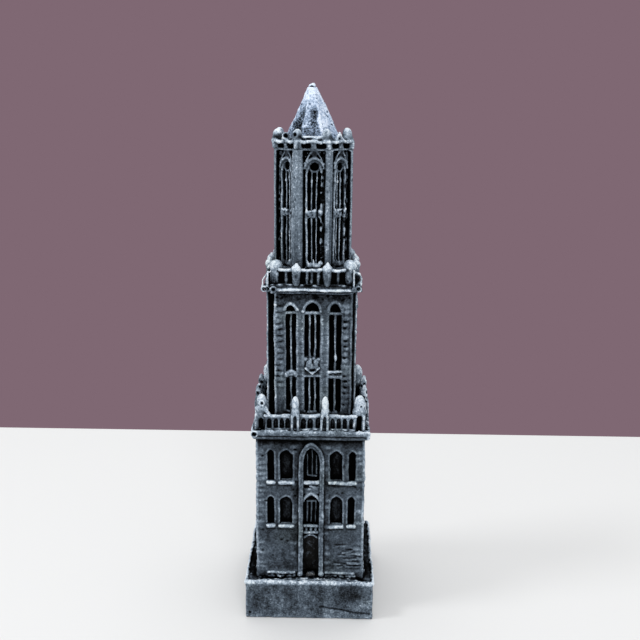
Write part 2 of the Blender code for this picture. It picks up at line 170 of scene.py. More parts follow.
# ---------------- shapes of (u, w, z)
def block(low, high, edge=0.3):
    """Box with rounded edges, and its bounds."""
    low, high = np.array(low, float), np.array(high, float)
    centre, half = (low + high) / 2, (high - low) / 2
    edge = min(edge, half.min() * 0.95)

    def shape(u, w, z):
        a = np.abs(u - centre[0]) - half[0] + edge
        b = np.abs(w - centre[1]) - half[1] + edge
        c = np.abs(z - centre[2]) - half[2] + edge
        outside = np.sqrt(np.maximum(a, 0) ** 2 + np.maximum(b, 0) ** 2 + np.maximum(c, 0) ** 2)
        return outside + np.minimum(np.maximum(a, np.maximum(b, c)), 0) - edge
    return shape, low, high


def lump(centre, radii):
    """Ellipsoid."""
    centre, radii = np.array(centre, float), np.array(radii, float) * np.ones(3)
    least = radii.min()

    def shape(u, w, z):
        k = np.sqrt(((u - centre[0]) / radii[0]) ** 2 + ((w - centre[1]) / radii[1]) ** 2
                    + ((z - centre[2]) / radii[2]) ** 2)
        return (k - 1) * least
    return shape, centre - radii, centre + radii


def rod(start, end, radius, end_radius=None):
    """Round bar between two points, which can taper."""
    a, b = np.array(start, float), np.array(end, float)
    tip = radius if end_radius is None else end_radius
    along = b - a
    length2 = float(along @ along)
    most = max(radius, tip)

    def shape(u, w, z):
        t = np.clip(((u - a[0]) * along[0] + (w - a[1]) * along[1] + (z - a[2]) * along[2]) / length2, 0, 1)
        gap = np.sqrt((u - a[0] - t * along[0]) ** 2 + (w - a[1] - t * along[1]) ** 2
                      + (z - a[2] - t * along[2]) ** 2)
        return gap - (radius + (tip - radius) * t)
    return shape, np.minimum(a, b) - most, np.maximum(a, b) + most


def slab(centre, reach, w0, w1, z0, z1, edge=0.3):
    """Box about a line up the face."""
    return block((centre - reach, w0, z0), (centre + reach, w1, z1), edge)


def beam(centre, reach, w, z0, z1, radius):
    """Round bar across the face, at z0 on the left and z1 on the right."""
    return rod((centre - reach, w, z0), (centre + reach, w, z1), radius)


def upright(u, w, z0, z1, radius, end_radius=None):
    return rod((u, w, z0), (u, w, z1), radius, end_radius)


def pipe(u, w0, w1, z, radius, end_radius=None):
    """Round bar that points outward."""
    return rod((u, w0, z), (u, w1, z), radius, end_radius)


def ring(centre, radius, thick, flat=False):
    """Torus that faces outward, or upward if it lies flat."""
    centre = np.array(centre, float)
    reach = radius + thick
    span = np.array((reach, reach, thick) if flat else (reach, thick, reach))

    def shape(u, w, z):
        u, w, z = u - centre[0], w - centre[1], z - centre[2]
        across, through = (w, z) if flat else (z, w)
        return np.sqrt((np.sqrt(u ** 2 + across ** 2) - radius) ** 2 + through ** 2) - thick
    return shape, centre - span, centre + span


def arch_edge(centre, half, spring, apex, blunt=0.25):
    """Signed distance in (u, z) to an arch with endless legs, negative inside.
    A low arch has bent shoulders, and blunt rounds the point of a high one."""
    rise = apex - spring
    if rise < 1.02 * half:
        circle = (half * half + rise * rise) / (2 * rise)
        lean = 1 / math.hypot(half, rise)

        def low_edge(u, z):
            across = np.abs(u - centre)
            curve = np.sqrt(across ** 2 + (z - apex + circle) ** 2) - circle
            straight = ((z - apex) * half + across * rise) * lean
            top = np.where(z > apex - circle, 0.45 * curve + 0.55 * straight, -FAR)
            return smax(across - half, top, 0.3)
        return low_edge
    nib = blunt - (math.hypot(half, blunt) - half)
    offset = (rise * rise + nib * nib - half * half) / (2 * (half - nib))
    radius = half + offset

    def edge(u, z):
        across = np.sqrt((u - centre) ** 2 + blunt * blunt) - blunt + nib
        curve = np.sqrt((across + offset) ** 2 + (z - spring) ** 2) - radius
        return np.where(z > spring, curve, np.abs(u - centre) - half)
    return edge


def opening(centre, half, foot, spring, apex, w0, w1, edge=0.15, blunt=0.25):
    """Solid with an arched outline, from w0 to w1."""
    outline = arch_edge(centre, half, spring, apex, blunt)

    def shape(u, w, z):
        flat = np.maximum(outline(u, z), foot - z)
        deep = np.abs(w - (w0 + w1) / 2) - (w1 - w0) / 2
        return smax(flat, deep, edge)
    return shape, (centre - half, w0, foot), (centre + half, w1, apex)


def hood(centre, half, foot, spring, apex, w, thick, blunt=0.25):
    """Round moulding that follows an arch."""
    outline = arch_edge(centre, half, spring, apex, blunt)

    def shape(u, w_, z):
        gap = np.sqrt(outline(u, z) ** 2 + (w_ - w) ** 2) - thick
        return smax(gap, foot - z, 0.2)
    low = (centre - half - thick, w - thick, foot - thick)
    return shape, low, (centre + half + thick, w + thick, apex + thick)


def octagon(half, z0, z1, taper=0.0, edge=0.3):
    """Eight-sided prism or roof. Half is across the flats at z0 and shrinks by taper per mm."""
    lean = 1 / math.sqrt(1 + taper * taper)
    diagonal = math.sqrt(0.5)

    def shape(u, w, z):
        a, b = np.abs(u), np.abs(w)
        across = smax(smax(a, b, 0.25), (a + b) * diagonal, 0.25)
        side = (across - half + taper * (z - z0)) * lean
        return smax(side, np.abs(z - (z0 + z1) / 2) - (z1 - z0) / 2, edge)
    return shape, (-half * 1.09, -half * 1.09, z0), (half * 1.09, half * 1.09, z1)


# ---------------- skin
def skin(field):
    """Surface net of a field: points in cells and quads facing outward."""
    solid = field < 0
    mixed = np.zeros(np.array(field.shape) - 1, np.int8)
    corners = [(i, j, k) for i in (0, 1) for j in (0, 1) for k in (0, 1)]
    spans = [tuple(slice(c, n - 1 + c) for c, n in zip(corner, field.shape)) for corner in corners]
    for span in spans:
        mixed += solid[span]
    active = (mixed > 0) & (mixed < 8)
    cells = np.argwhere(active)
    number = np.full(active.shape, -1, np.int32)
    number[active] = np.arange(len(cells))
    values = {c: field[cells[:, 0] + c[0], cells[:, 1] + c[1], cells[:, 2] + c[2]] for c in corners}
    total = np.zeros((len(cells), 3))
    count = np.zeros(len(cells))
    for a in corners:
        for axis in range(3):
            if a[axis]:
                continue
            b = tuple(v + (axis == n) for n, v in enumerate(a))
            crosses = (values[a] < 0) != (values[b] < 0)
            t = values[a][crosses] / (values[a][crosses] - values[b][crosses])
            spot = np.array(a, float) + t[:, None] * np.eye(3)[axis]
            total[crosses] += spot
            count[crosses] += 1
    points = cells + total / count[:, None]
    quads = []
    for axis in range(3):
        one, two = (axis + 1) % 3, (axis + 2) % 3
        low = [slice(1, -1)] * 3
        low[axis] = slice(0, -1)
        high = list(low)
        high[axis] = slice(1, None)
        before, after = solid[tuple(low)], solid[tuple(high)]
        for outward in (True, False):
            edge = np.argwhere((before & ~after) if outward else (after & ~before))
            edge[:, one] += 1
            edge[:, two] += 1
            ring_ = []
            for d1, d2 in ((1, 1), (0, 1), (0, 0), (1, 0)):
                cell = edge.copy()
                cell[:, one] -= d1
                cell[:, two] -= d2
                ring_.append(number[cell[:, 0], cell[:, 1], cell[:, 2]])
            quads.append(np.stack(ring_ if outward else ring_[::-1], 1))
    return points, np.concatenate(quads)


def hashed(ix, iy, iz, seed):
    """Random value in -1..1 for whole numbers, mixed with large primes."""
    h = (ix * 73856093) ^ (iy * 19349663) ^ (iz * 83492791) ^ (seed * 2654435)
    h = (h ^ (h >> 13)) * 1274126177 & 0x7FFFFFFF
    h = (h ^ (h >> 16)) * 668265263 & 0x7FFFFFFF
    return ((h >> 8) & 0xFFFF) / 32767.5 - 1


def corner_weights(f):
    """The eight corners round places within cells, each with its trilinear weight."""
    for i in (0, 1):
        for j in (0, 1):
            for k in (0, 1):
                weight = (f[:, 0] if i else 1 - f[:, 0]) * (f[:, 1] if j else 1 - f[:, 1])
                yield i, j, k, weight * (f[:, 2] if k else 1 - f[:, 2])


def noise(points, size, seed):
    """Smooth value noise in -1..1 at points."""
    p = points / size + 500.5
    cell = np.floor(p).astype(np.int64)
    f = p - cell
    f = f * f * (3 - 2 * f)
    return sum(weight * hashed(cell[:, 0] + i, cell[:, 1] + j, cell[:, 2] + k, seed)
               for i, j, k, weight in corner_weights(f))


def wobble(points):
    """Slow wandering of the whole sculpture, the same for every piece, and a lean of the roof."""
    out = points.copy()
    z = points[:, 2]
    for axis in range(2):
        out[:, axis] += 0.16 * noise(points, 6.0, 11 + axis) + 0.08 * noise(points, 2.3, 21 + axis)
    out[:, 0] -= 0.2 * np.clip((z - 143) / 2, 0, 1) + 0.35 * np.clip((z - 145) / 14, 0, 1.2)
    out[:, 2] += 0.16 * noise(points, 5.0, 13) * np.clip(z / 2, 0, 1)
    return out


# ---------------- how hollow is it
BODIES = []                                 # (name of the replaced CAD node, its clay)


def blurred(solid, radius):
    """Share of solid within about a radius, by two passes of a box."""
    reach = max(1, int(round(radius / GRAIN)))
    whole, span = slice(None), 2 * reach + 1
    out = solid
    for _ in range(2):
        for axis in range(3):
            padded = np.pad(out, [(reach + 1, reach) if a == axis else (0, 0) for a in range(3)], mode="edge")
            running = np.cumsum(padded, axis=axis, dtype=np.float32)
            n = out.shape[axis]
            last = tuple(slice(span, span + n) if a == axis else whole for a in range(3))
            early = tuple(slice(0, n) if a == axis else whole for a in range(3))
            out = (running[last] - running[early]) / np.float32(span)
    return out


def sampled(field, spots):
    """Trilinear value of a field at spots given in cells."""
    spots = np.clip(spots, 0, np.array(field.shape) - 1.001)
    cell = np.floor(spots).astype(int)
    return sum(weight * field[cell[:, 0] + i, cell[:, 1] + j, cell[:, 2] + k]
               for i, j, k, weight in corner_weights(spots - cell))


# ---------------- sizes of the model, as in the CAD
def limits(node):
    low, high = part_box(node)
    return [v / MM for v in low], [v / MM for v in high]


def start(node, spread=1.2, top=None, turn=0):
    """Clay in the room of a CAD node, seen from the side to work on."""
    low, high = limits(node)
    if top:
        high[2] = top
    clay = Clay(np.array(low) - spread, np.array(high) + spread)
    BODIES.append((node, clay))
    return clay.face(turn)


def side_shift(turn, front):
    """How far off centre a side is: given on the front, at random on the others."""
    return front if turn == 0 else near(0.2)


PLINTH_HALF, PLINTH_TOP = limits("plinth")[1][0], 12.7
LOWER_HALF, LOWER_TOP = 16.1, limits("lower_cornice")[0][2] - 0.2
WINDOW_ROWS = ((45.0, 54.7), (30.5, 39.7))
WINDOWS = ((-12.15, 1.0), (-7.5, 1.85), (7.5, 1.85), (12.15, 1.0))
LEDGE_HALF, LEDGE_TOP = limits("lower_cornice")[1][0], limits("lower_cornice")[1][2]
MID_HALF, MID_FACE, MID_TOP = 12.85, 11.4, 102.0
LANCETS = ((-6.4, 1.62, 2), (-0.1, 2.45, 3), (6.5, 1.95, 2))
CORNICE_TOP = limits("upper_cornice")[1][2]
LANTERN_HALF = limits("lantern")[1][0]
CORNER = math.tan(math.pi / 8)
BALCONY_RAILS = (30.0, 27.8)
DOOR_PANELS = (-0.85, 0.85)


# ---------------- plinth and lower stage
def make_plinth():
    clay = start("plinth", top=PLINTH_TOP)
    h, top = PLINTH_HALF, PLINTH_TOP
    clay.add(block((-h - 0.12, -h - 0.12, 0), (h + 0.12, h + 0.12, top), 0.45), 0.25)
    for turn in range(4):
        face, front = clay.face(turn), turn == 0
        brim = 18.2 if front else 18.75
        face.cut(slab(0, 18.5, 15.8, brim, top - 0.4, 15, 0.4), 0.5, (1.2, -0.4, -0.8, -0.8)[turn])
        face.add(beam(0, 19.1, brim + 0.75, top - 0.55, top - 0.6, 0.6 if front else 0.45), 0.5, 0.95)
        for _ in range(26 if front else 0):
            strew(face.add, [(0, 18.9, top - 0.1)], (17.5, 0.4, 0), (0.35, 0.3, 0.22), (0.2, 0, 0), tone=1.1)
            strew(face.cut, [(0, 18.6, top)], (18.5, 0.3, 0), (0.45, 0.25, 0.25), (0.3, 0, 0), tone=0.2)
        strew(face.cut, [(0, 18.9, top - 0.2)] * (0 if front else 26), (17.5, 0.15, 0), (0.7, 0.3, 0.3),
              (0.3, 0, 0), tone=-1.0)
        strew(face.add, [(0, 17.4, top - 0.35)] * (90 if front else 24), (17.6, 1.0, 0), (0.4, 0.3, 0.22),
              (0.2, 0, 0), 0.15, 1.4 if front else -0.4, 0.6)
        # a pale line near the foot of each side, and under it painted contact shadow along the bottom edge
        face.stain_and_painted_light(slab(0, 19.8, 19.0, 20.2, 0.75, 0.95, 0.1), 0.3, 0.4)
        face.stain_and_painted_light(slab(0, 21, 19.0, 20.5, -0.5, 0.1, 0.1), 0.25, -0.8)
        face.stain_and_painted_light(slab(0, 19.8, 19.7, 20.2, 11.9, 13.0, 0.2), 0.8, 0.45)
    strew(clay.cut, [(u, 17.2, top - 0.3) for u in (-14.5, -12.0, -9.5, 15.2, 17.0)], (0.5, 0.4, 0),
          (1.3, 0.6, 0.3), soft=0.3, tone=-1.2)
    crack = ((3.2, 4.3), (7.0, 3.55), (9.8, 3.25), (13.6, 2.35), (18.6, 1.9))
    for (a, za), (b, zb) in zip(crack, crack[1:]):
        clay.cut(rod((a, 19.8, za), (b, 19.8, zb), 0.3 + near(0.06), 0.3 + near(0.06)), 0.3, -0.55)
        clay.stain_and_painted_light(rod((a, 19.6, za - 0.8), (b, 19.6, zb - 0.8), 0.35), 0.5, 0.25)
    # brush strokes and clouds on the front
    strokes = ((-16, 9.5, -9, 4.0, 0.8, 1.2, 0.22), (-3, 11.0, 4, 4.5, 0.5, 1.0, 0.18),
               (-10, 11.0, -4, 6.0, 0.7, 1.0, -0.2))
    for u0, z0, u1, z1, radius, soft, tone in strokes:
        clay.stain_and_painted_light(rod((u0, 19.6, z0), (u1, 19.6, z1), radius), soft, tone)
    clouds = ((3.5, 9.5, 3.0, 1.6, 1.2, -0.25), (13.5, 8.6, 4.0, 2.6, 1.2, -0.42),
              (15.0, 4.8, 3.2, 1.4, 1.0, 0.4), (-13.5, 7.0, 5.0, 1.4, 1.5, 0.1))
    for u, z, wide, tall, soft, tone in clouds:
        clay.stain_and_painted_light(lump((u, 19.5, z), (wide, 2, tall)), soft, tone)
    for turn, u, z in ((0, -18.3, 1.9), (1, 6.0, 7.0), (2, -9.0, 4.0), (3, 3.0, 8.5)):
        clay.face(turn).cut(lump((u, 19.6, z), (0.3, 0.5, 0.3)), 0.15, -0.9)
    for turn in (1, 2, 3):
        face = clay.face(turn)
        u, rise = near(12), near(3)
        face.cut(rod((u, 19.8, 6 + rise), (u + 6, 19.8, 5 + near(3)), 0.28), 0.3, -0.35)
        face.stain_and_painted_light(lump((near(12), 19.5, 7.0), (4.5, 2, 2.5)), 1.8, -0.2)


def blind_window(face, c, half, foot, top):
    """Shallow window under a hood, with a lumpy pale sill. A narrow one is deeper and black."""
    h, wide = LOWER_HALF, half > 1.5
    rise, deep, tone, lip = (1.45, 1.0, -0.38, 0.45) if wide else (1.0, 1.5, -1.2, 0.28)
    face.add(hood(c, half + 0.2, foot + 0.2, top - rise + 0.1, top + 0.28, h + 0.02, 0.27), 0.25, 0.2)
    face.cut(opening(c, half, foot, top - rise, top, h - deep, h + 2), 0.12, tone)
    if wide:
        left, right = c - half + 0.2, c + half - 0.2
        face.add(block((left, h - 0.7, foot), (right, h - 0.35, foot + 0.35), 0.15), 0.2, 0.3)
    reach = half + lip
    face.add(slab(c, reach, h - 0.6, h + 0.45, foot - 1.4, foot - 0.15, 0.5), 0.4, 0.75)
    strew(face.add, [(c + reach * (-0.85 + 1.7 * m / 7), h + 0.35, foot - 0.55) for m in range(8)],
          (0, 0, 0.15), (0.42, 0.34, 0.36), (0, 0, 0.14), tone=0.85, vary=0.3)
    # thin groove under the sill, darkened as painted shadow under the sill
    face.cut(beam(c, reach, h + 0.15, foot - 1.75, foot - 1.7, 0.2), 0.25, -0.45)


def lower_wall(face):
    """Pale swellings, cracks and pits of a lower wall, and the course along its foot."""
    h, front = LOWER_HALF, face.turn == 0
    for z in np.arange(15.5, LOWER_TOP - 1.5, 1.75):
        for u, chance, wide in ((-14.9, 0.62, 1.15), (14.9, 0.62, 1.15), (-5.0, 0.5, 0.75), (5.2, 0.5, 0.75)):
            spots = [(u, h - 0.05, z)] if RNG.uniform() < chance else []
            strew(face.add, spots, (0.3, 0, 0.3), (wide, 0.3, 0.5), (0.3, 0, 0), 0.35, 0.22, 0.2)
    for _ in range(18):
        u, z = about((11.8, 19.2), (2.6, 4.6)) if front else about((0, 19.0), (14, 4.5))
        reach = 1.1 + near(0.6)
        z1 = z + near(0.35)
        face.cut(beam(u, reach, h + 0.14, z, z1, 0.24), 0.3, -0.4)
        face.add(beam(u, reach, h - 0.08, z - 0.5, z1 - 0.5, 0.2), 0.35, 0.16)
    strew(face.cut, [(0, h + 0.1, 36)] * 26, (15.2, 0, 21), (0.3, 0.28, 0.25), (0.15, 0, 0), 0.15, -0.7)
    course = 14.1
    for u0, u1 in ((-12.9, -4.9), (4.9, 13.4)):
        face.add(rod((u0, h + 0.3, course + near(0.2)), (u1, h + 0.3, course + near(0.2)), 0.42), 0.3, 0.65)
        strew(face.add, [(u0 + (u1 - u0) * (m + 0.5) / 9, h + 0.45, course) for m in range(9)],
              (0.4, 0, 0.3), (0.55, 0.3, 0.3), (0.2, 0, 0.12), tone=0.75, vary=0.35)
        face.cut(rod((u0, h + 0.6, 13.2), (u1, h + 0.6, 13.2), 0.25), 0.2, -0.5)
        strew(face.add, [((u0 + u1) / 2, h + 0.4, 12.95)] * 30, (4.6, 0.3, 0.35), (0.4, 0.45, 0.3),
              (0.15, 0, 0), tone=0.35, vary=0.75)


def make_lower_tower():
    clay = start("lower_tower", top=LOWER_TOP)
    h, foot = LOWER_HALF, PLINTH_TOP - 0.6
    clay.add(block((-h, -h, foot), (h, h, LOWER_TOP + 0.5), 0.4), 0.25)
    clay.add(block((-h - 0.2, -h - 0.2, foot), (h + 0.2, h + 0.2, 15.0), 0.4), 1.2)
    for turn in range(4):
        clay.face(turn).add(upright(h - 0.15, h - 0.15, 13.2, LOWER_TOP, 0.36), 0.4, 0.28)
    for turn in range(4):
        face = clay.face(turn)
        c = side_shift(turn, 0.3)
        for sill, top in WINDOW_ROWS:
            for centre, half in WINDOWS:
                blind_window(face, centre + c + near(0.12), half, sill + near(0.12), top + near(0.12))
        if turn == 0:
            face.add(block((9.5, h - 0.5, 43.6), (12.5, h + 0.4, 44.6), 0.4), 0.4, 0.8)
        lower_wall(face)
        # painted shade under the lower cornice, across the top of the wall
        face.stain_and_painted_light(slab(0, 15.8, h - 1, h + 1, 56.4, 59.0, 0.4), 0.7, -0.5)
        face.stain_and_painted_light(lump((-4.9 + c, h, 38), (0.6, 1.5, 17)), 0.6, -0.35)
        face.stain_and_painted_light(lump((5.6 + c, h, 48), (0.7, 1.5, 9)), 0.6, -0.35)
        face.cut(opening(c, 2.7, 13.3, 51.2, 56.2, h - 1.5, h + 2, 0.15, 0.8), 0.15)
        if turn:
            tracery(face, c, h - 1.5)
            for z in BALCONY_RAILS:
                face.add(beam(c, 2.3, h - 0.5, z, z, 0.45), 0.2, 0.6)
            face.add(hood(c, 2.5, 25.0, 25.3, 26.7, h - 0.9, 0.34), 0.2, 0.3)
            for u in DOOR_PANELS:
                face.add(lump((c + u, h - 1.4, 20.0), (0.7, 0.35, 4.2)), 0.4, -0.7)


def tracery(face, c, back):
    """Thin bars, sill and arch of the panels over a doorway."""
    front = back + 0.35
    for u, z0, z1 in ((-1.3, 46.3, 52.9), (0.2, 45.9, 54.4), (1.5, 46.6, 52.4)):
        face.add(upright(c + u, front, z0, z1, 0.2), 0.15, -0.1)
    face.add(rod((c - 1.4, front, 46.1), (c + 1.5, front, 46.0), 0.2), 0.15, -0.15)
    face.add(slab(c, 2.5, back - 0.5, back + 0.9, 40.2, 44.0), 0.3, 0.35)
    face.add(beam(c, 2.3, front + 0.7, 44.0, 44.1, 0.55), 0.2, 0.85)
    face.cut(slab(c, 2.2, back + 0.35, back + 2, 42.0, 43.0), 0.3, 0.1)
    strew(face.add, [(c, front + 0.35, 42.1)] * 9, (2.1, 0, 0.7), (0.5, 0.35, 0.32), (0.15, 0, 0),
          tone=0.5, vary=0.5)
    face.cut(opening(c, 2.25, 30.4, 38.2, 40.2, back + 0.05, back + 3), 0.15)
    face.add(hood(c, 2.6, 37.6, 38.2, 40.5, front + 0.6, 0.48), 0.2, 0.6)
    for u, z1 in ((-1.2, 37.6), (0.1, 37.2), (1.4, 37.6)):
        face.add(upright(c + u, front, 30.8, z1, 0.19), 0.15, -0.1)
    face.add(rod((c - 1.2, front, 37.7), (c + 1.4, front, 37.7), 0.22), 0.15, 0.0)


def make_portal_frames():
    """Tall arched moulding round the doorway of each side."""
    h, foot = LOWER_HALF, PLINTH_TOP
    for turn, side in enumerate(SIDES):
        face = start("portal_frame_" + side, 1.6, turn=turn)
        c = side_shift(turn, 0.27)
        face.add(opening(c, 3.85, foot, 51.0, 57.2, h - 0.9, h + 0.35, 0.25, 1.1), 0.2, -0.15)
        face.cut(opening(c, 2.5, foot - 1, 51.0, 55.7, h - 3, h + 3, 0.1, 0.8), 0.15, -0.6)
        face.add(hood(c, 3.5, foot + 0.3, 51.0, 56.9, h + 0.38, 0.36, 1.1), 0.15, 0.12)
        face.add(hood(c, 2.75, foot + 0.3, 51.0, 55.9, h + 0.28, 0.32, 0.9), 0.12, 0.1)
        for u in (-3.3, 3.3):
            face.add(lump((c + u, h + 0.5, foot + 0.9), (0.8, 0.6, 0.9)), 0.4, 0.7)
        for k in range(14):
            u = 3.15 * ENDS[k % 2]
            face.add(lump((c + u + near(0.3), h + 0.4, 16 + near(1) + 2.5 * k), (0.45, 0.35, 0.8)), 0.3, 0.2)


def make_doorway():
    """Tracery, balcony, door and step in the front portal."""
    c, h = 0.27, LOWER_HALF
    back = h - 1.5
    clay = start("portal_tracery", 1.4)
    clay.add(opening(c, 2.75, 30.0, 51.2, 56.0, back - 0.6, back), 0.15, -1.0)
    tracery(clay, c, back)

    clay = start("balcony", 1.0)
    for z, tone in zip(BALCONY_RAILS, (0.5, 0.4)):
        clay.add(beam(c, 2.1, h - 0.15, z, z + near(0.1), 0.46), 0.2, tone)
    clay.add(slab(c, 2.4, back - 0.2, h - 0.7, 27.2, 30.0), 0.2, -0.9)
    for u in (-1.4, 0.05, 1.5):
        clay.add(upright(c + u, h - 0.25, 28.0, 30.0, 0.3), 0.2, 0.2)
        clay.add(lump((c + u, h - 0.1, 28.9), (0.42, 0.35, 0.4)), 0.2, 0.3)
    clay.add(hood(c, 2.5, 25.0, 25.3, 26.7, h - 0.75, 0.34), 0.2, 0.3)

    clay = start("door_leaf", 1.0)
    clay.add(opening(c, 2.6, 14.2, 24.8, 26.9, back - 0.4, back + 0.3), 0.2, -0.95)
    for u in DOOR_PANELS:
        clay.add(lump((c + u, back + 0.2, 20.0), (0.7, 0.35, 4.2)), 0.4, -0.9)

    clay = start("door_step", 1.2)
    clay.add(slab(c, 1.6, h - 1.4, h + 0.9, 12.2, 14.25, 0.85), 0.3, -0.5)
    # painted highlight on the top of the step
    clay.stain_and_painted_light(lump((c + 0.1, h + 0.2, 14.5), (1.0, 1.0, 0.6)), 0.4, 0.9)
    clay.cut(slab(0, 4, -2, 22, 10, 12.6, 0.1), 0.1)


# ---------------- lower gallery
def make_lower_cornice():
    clay = start("lower_cornice")
    h, low, top = LEDGE_HALF, LOWER_TOP, LEDGE_TOP
    clay.add(block((-h + 0.75, -h + 0.75, low - 0.3), (h - 0.75, h - 0.75, top - 0.6), 0.5), 0.3, 0.0)
    clay.add(block((-h, -h, low + 1.2), (h, h, top - 0.1), 0.6), 0.35, 0.2)
    for turn in range(4):
        face = clay.face(turn)
        face.add(beam(0, h - 0.6, h - 0.42, top - 0.55, top - 0.5, 0.44), 0.4, 0.35)
        face.add(beam(0, h - 0.9, h - 0.75, low + 0.55, low + 0.5, 0.42), 0.3, -0.05)
        face.cut(beam(0, h, h - 0.05, low + 0.95, low + 0.9, 0.16), 0.3, -0.5)
        for _ in range(70):
            size = 0.3 + near(0.14)
            flake = (size * 1.5, size, 0.3)
            strew(face.add, [(0, h - 0.75, top - 0.05)], (16.4, 0.65, 0), flake, tone=0.25, vary=0.7)
        strew(face.cut, [(0, h - 1.1, top)] * 110, (16.4, 0.45, 0), (0.45, 0.22, 0.25), (0.25, 0, 0),
              0.15, -0.9)
        face.stain_and_painted_light(slab(0, h, h - 0.35, h + 0.5, low + 1.9, top - 0.1, 0.2), 0.35, 0.12)
        # painted shade on the walkway behind the parapet
        face.stain_and_painted_light(slab(0, 15.2, 10, 15.6, top - 1, top + 1), 0.4, -1.2)
    for turn, side in ((0, -1), (2, -1), (2, 1), (3, -1)):
        face, u = clay.face(turn), side * (h - 0.95)
        face.add(ring((u, h + 0.02, top - 1.1), 0.85, 0.28), 0.25, 0.6)
        face.cut(lump((u, h + 0.1, top - 1.1), (0.62, 1.4, 0.6)), 0.15, -1.6)
    clay.add(rod((h - 0.3, h - 0.3, low + 0.6), (h - 0.1, h - 0.1, top - 0.4), 0.4), 0.3, 0.7)


def chain(face, path, w, radius, shake, soft, tone, vary=0.0):
    """Bar through (u, z) points, its thickness and tone moved at random."""
    for (a, za), (b, zb) in zip(path, path[1:]):
        link = rod((a, w, za), (b, w, zb), radius + near(shake))
        face.add(link, soft, tone + near(vary) if vary else tone)


def sagging_rail(face, u0, u1, w, z, radius, tone, sag=0.3):
    """Bar that hangs a little between two posts."""
    steps = 6
    path = [(u0 + (u1 - u0) * k / steps, z - sag * math.sin(math.pi * k / steps) + near(0.06))
            for k in range(steps + 1)]
    chain(face, path, w, radius, 0.05, 0.2, tone)


def shaky_bar(face, u, w, z0, z1, parts, shake, radius, soft, tone):
    """Upright bar in short lengths, each a little out of line."""
    spots = np.linspace(z0, z1, parts + 1)
    for a, b in zip(spots, spots[1:]):
        face.add(rod((u + near(shake), w, a), (u + near(shake), w, b), radius), soft, tone)


def pinnacle(face, u, w, foot, top, half, tone=0.75, fat=1.0):
    """Niche body under a bullet-shaped cap."""
    body = foot + (top - foot) * 0.49
    layers = 4
    face.add(block((u - half, w - half, foot - 0.6), (u + half, w + half * 0.8, body - 0.4), 0.45), 0.3, 0.25)
    face.add(lump((u, w, body + 0.1), (half * 1.12, half * 1.05, 1.0)), 0.5, 0.55)
    for side in ENDS:
        jamb = rod((u + side * half * 0.8, w + half * 0.85, foot - 0.3),
                   (u + side * half * 0.72, w + half * 0.85, body - 0.6), 0.3)
        for _ in range(layers):
            face.add(jamb, 0.25, 0.5)
    face.cut(opening(u, half * 0.36, foot - 0.4, body - 1.3, body - 0.6, w + half * 0.1, w + 4), 0.2)
    face.add(hood(u, half * 0.72, body - 1.6, body - 1.3, body + 0.15, w + half * 0.85, 0.26), 0.25, 0.55)
    middle, girth = (body + top) / 2, half * 0.92 * fat
    face.add(lump((u, w, middle + 0.15), (girth, girth, (top - body) / 2 + 0.1)), 0.35, tone)
    face.add(lump((u, w, body + 1.0), (half * 0.98 * fat, half * 0.98 * fat, 0.75)), 0.35, tone - 0.1)
    face.cut(ring((u, w, body + 1.75), half * 1.05 * fat, 0.14, flat=True), 0.2, tone - 0.9)


def make_lower_gallery():
    line, foot, rail = 16.15, LEDGE_TOP, 65.75
    pits, side_darkening = (0, 12, 3, 12), (0.0, -0.25, 0.0, -0.5)
    for turn, side in enumerate(SIDES):
        face = start("lower_parapet_" + side, 1.4, turn=turn)
        face.add(slab(0, 13.4, line - 0.75, line + 0.35, foot - 0.5, rail, 0.25), 0.2, 0.15)
        for centre, reach, count in ((-9.4, 3.6, 4), (0.0, 3.3, 3), (9.3, 3.6, 4)):
            step = 2 * reach / count
            for k in range(count):
                u = centre - reach + step * (k + 0.5) + near(0.1)
                apex = rail - 0.75 + near(0.15)
                face.cut(opening(u, step * 0.33, foot + 0.5, rail - 1.9, apex, line - 0.35, line + 3), 0.15)
            sagging_rail(face, centre - reach - 0.4, centre + reach + 0.4, line + 0.05, rail + 0.1, 0.5, 0.55)
        face.add(slab(0, 13.4, line - 1.0, line + 0.6, foot - 0.6, foot + 0.35, 0.25), 0.3, 0.2)
        strew(face.add, [(0, line + 0.55, foot + 0.2)] * 24, (13, 0.2, 0), (0.45, 0.25, 0.25), tone=0.95)

        for number, u in enumerate((-4.6, 4.2), 1):
            post = start("lower_pinnacle_%s_%d" % (side, number), 1.6, turn=turn)
            pinnacle(post, u + (near(0.15) if turn else 0), line, foot, 71.5 + near(0.25), 1.12)
            strew(post.cut, [(u, line, 67.6)] * pits[turn], (1.2, 1.2, 3.2), (0.42, 0.42, 0.42), tone=-1.0)
            # the pinnacles of the right and left sides are made darker, the left ones most
            post.stain_and_painted_light(lump((u, line, 68.0), (2, 2, 5)), 0.5, side_darkening[turn])
        # the corner pinnacle at the right-hand end of this side, with a niche on both outer faces
        post = start("lower_pinnacle_corner_%d" % (turn + 1), 1.6, turn=turn)
        odd = turn == 3
        u, w = 14.3 if turn in (0, 3) else 14.6, 14.6
        pinnacle(post, u, w, foot, 71.3 if odd else 71.5, 1.78, 0.65, 0.96 if odd else 1.04)
        strew(post.cut, [(u, w + 1.5, 69.0)], (0.5, 0, 0.8), (0.3, 0.4, 0.35), tone=-0.5 if turn else 0.5)
        post.face(turn + 1).cut(opening(-w, 0.6, foot - 0.3, foot + 2.6, foot + 3.4, u + 0.3, u + 4))
        if odd:
            front = post.face(0)
            front.cut(lump((-14.5, 16.1, 69.3), (0.5, 0.7, 0.5)))
            front.add(ring((-14.5, 15.9, 69.3), 0.72, 0.22), 0.25, 0.7)
            front.add(rod((-13.6, 16.0, 67.6), (-12.3, 16.2, 66.2), 0.55, 0.5), 0.4, 0.75)
            front.add(lump((-14.7, 15.3, 67.6), (1.9, 1.4, 0.9)), 0.5, 0.6)


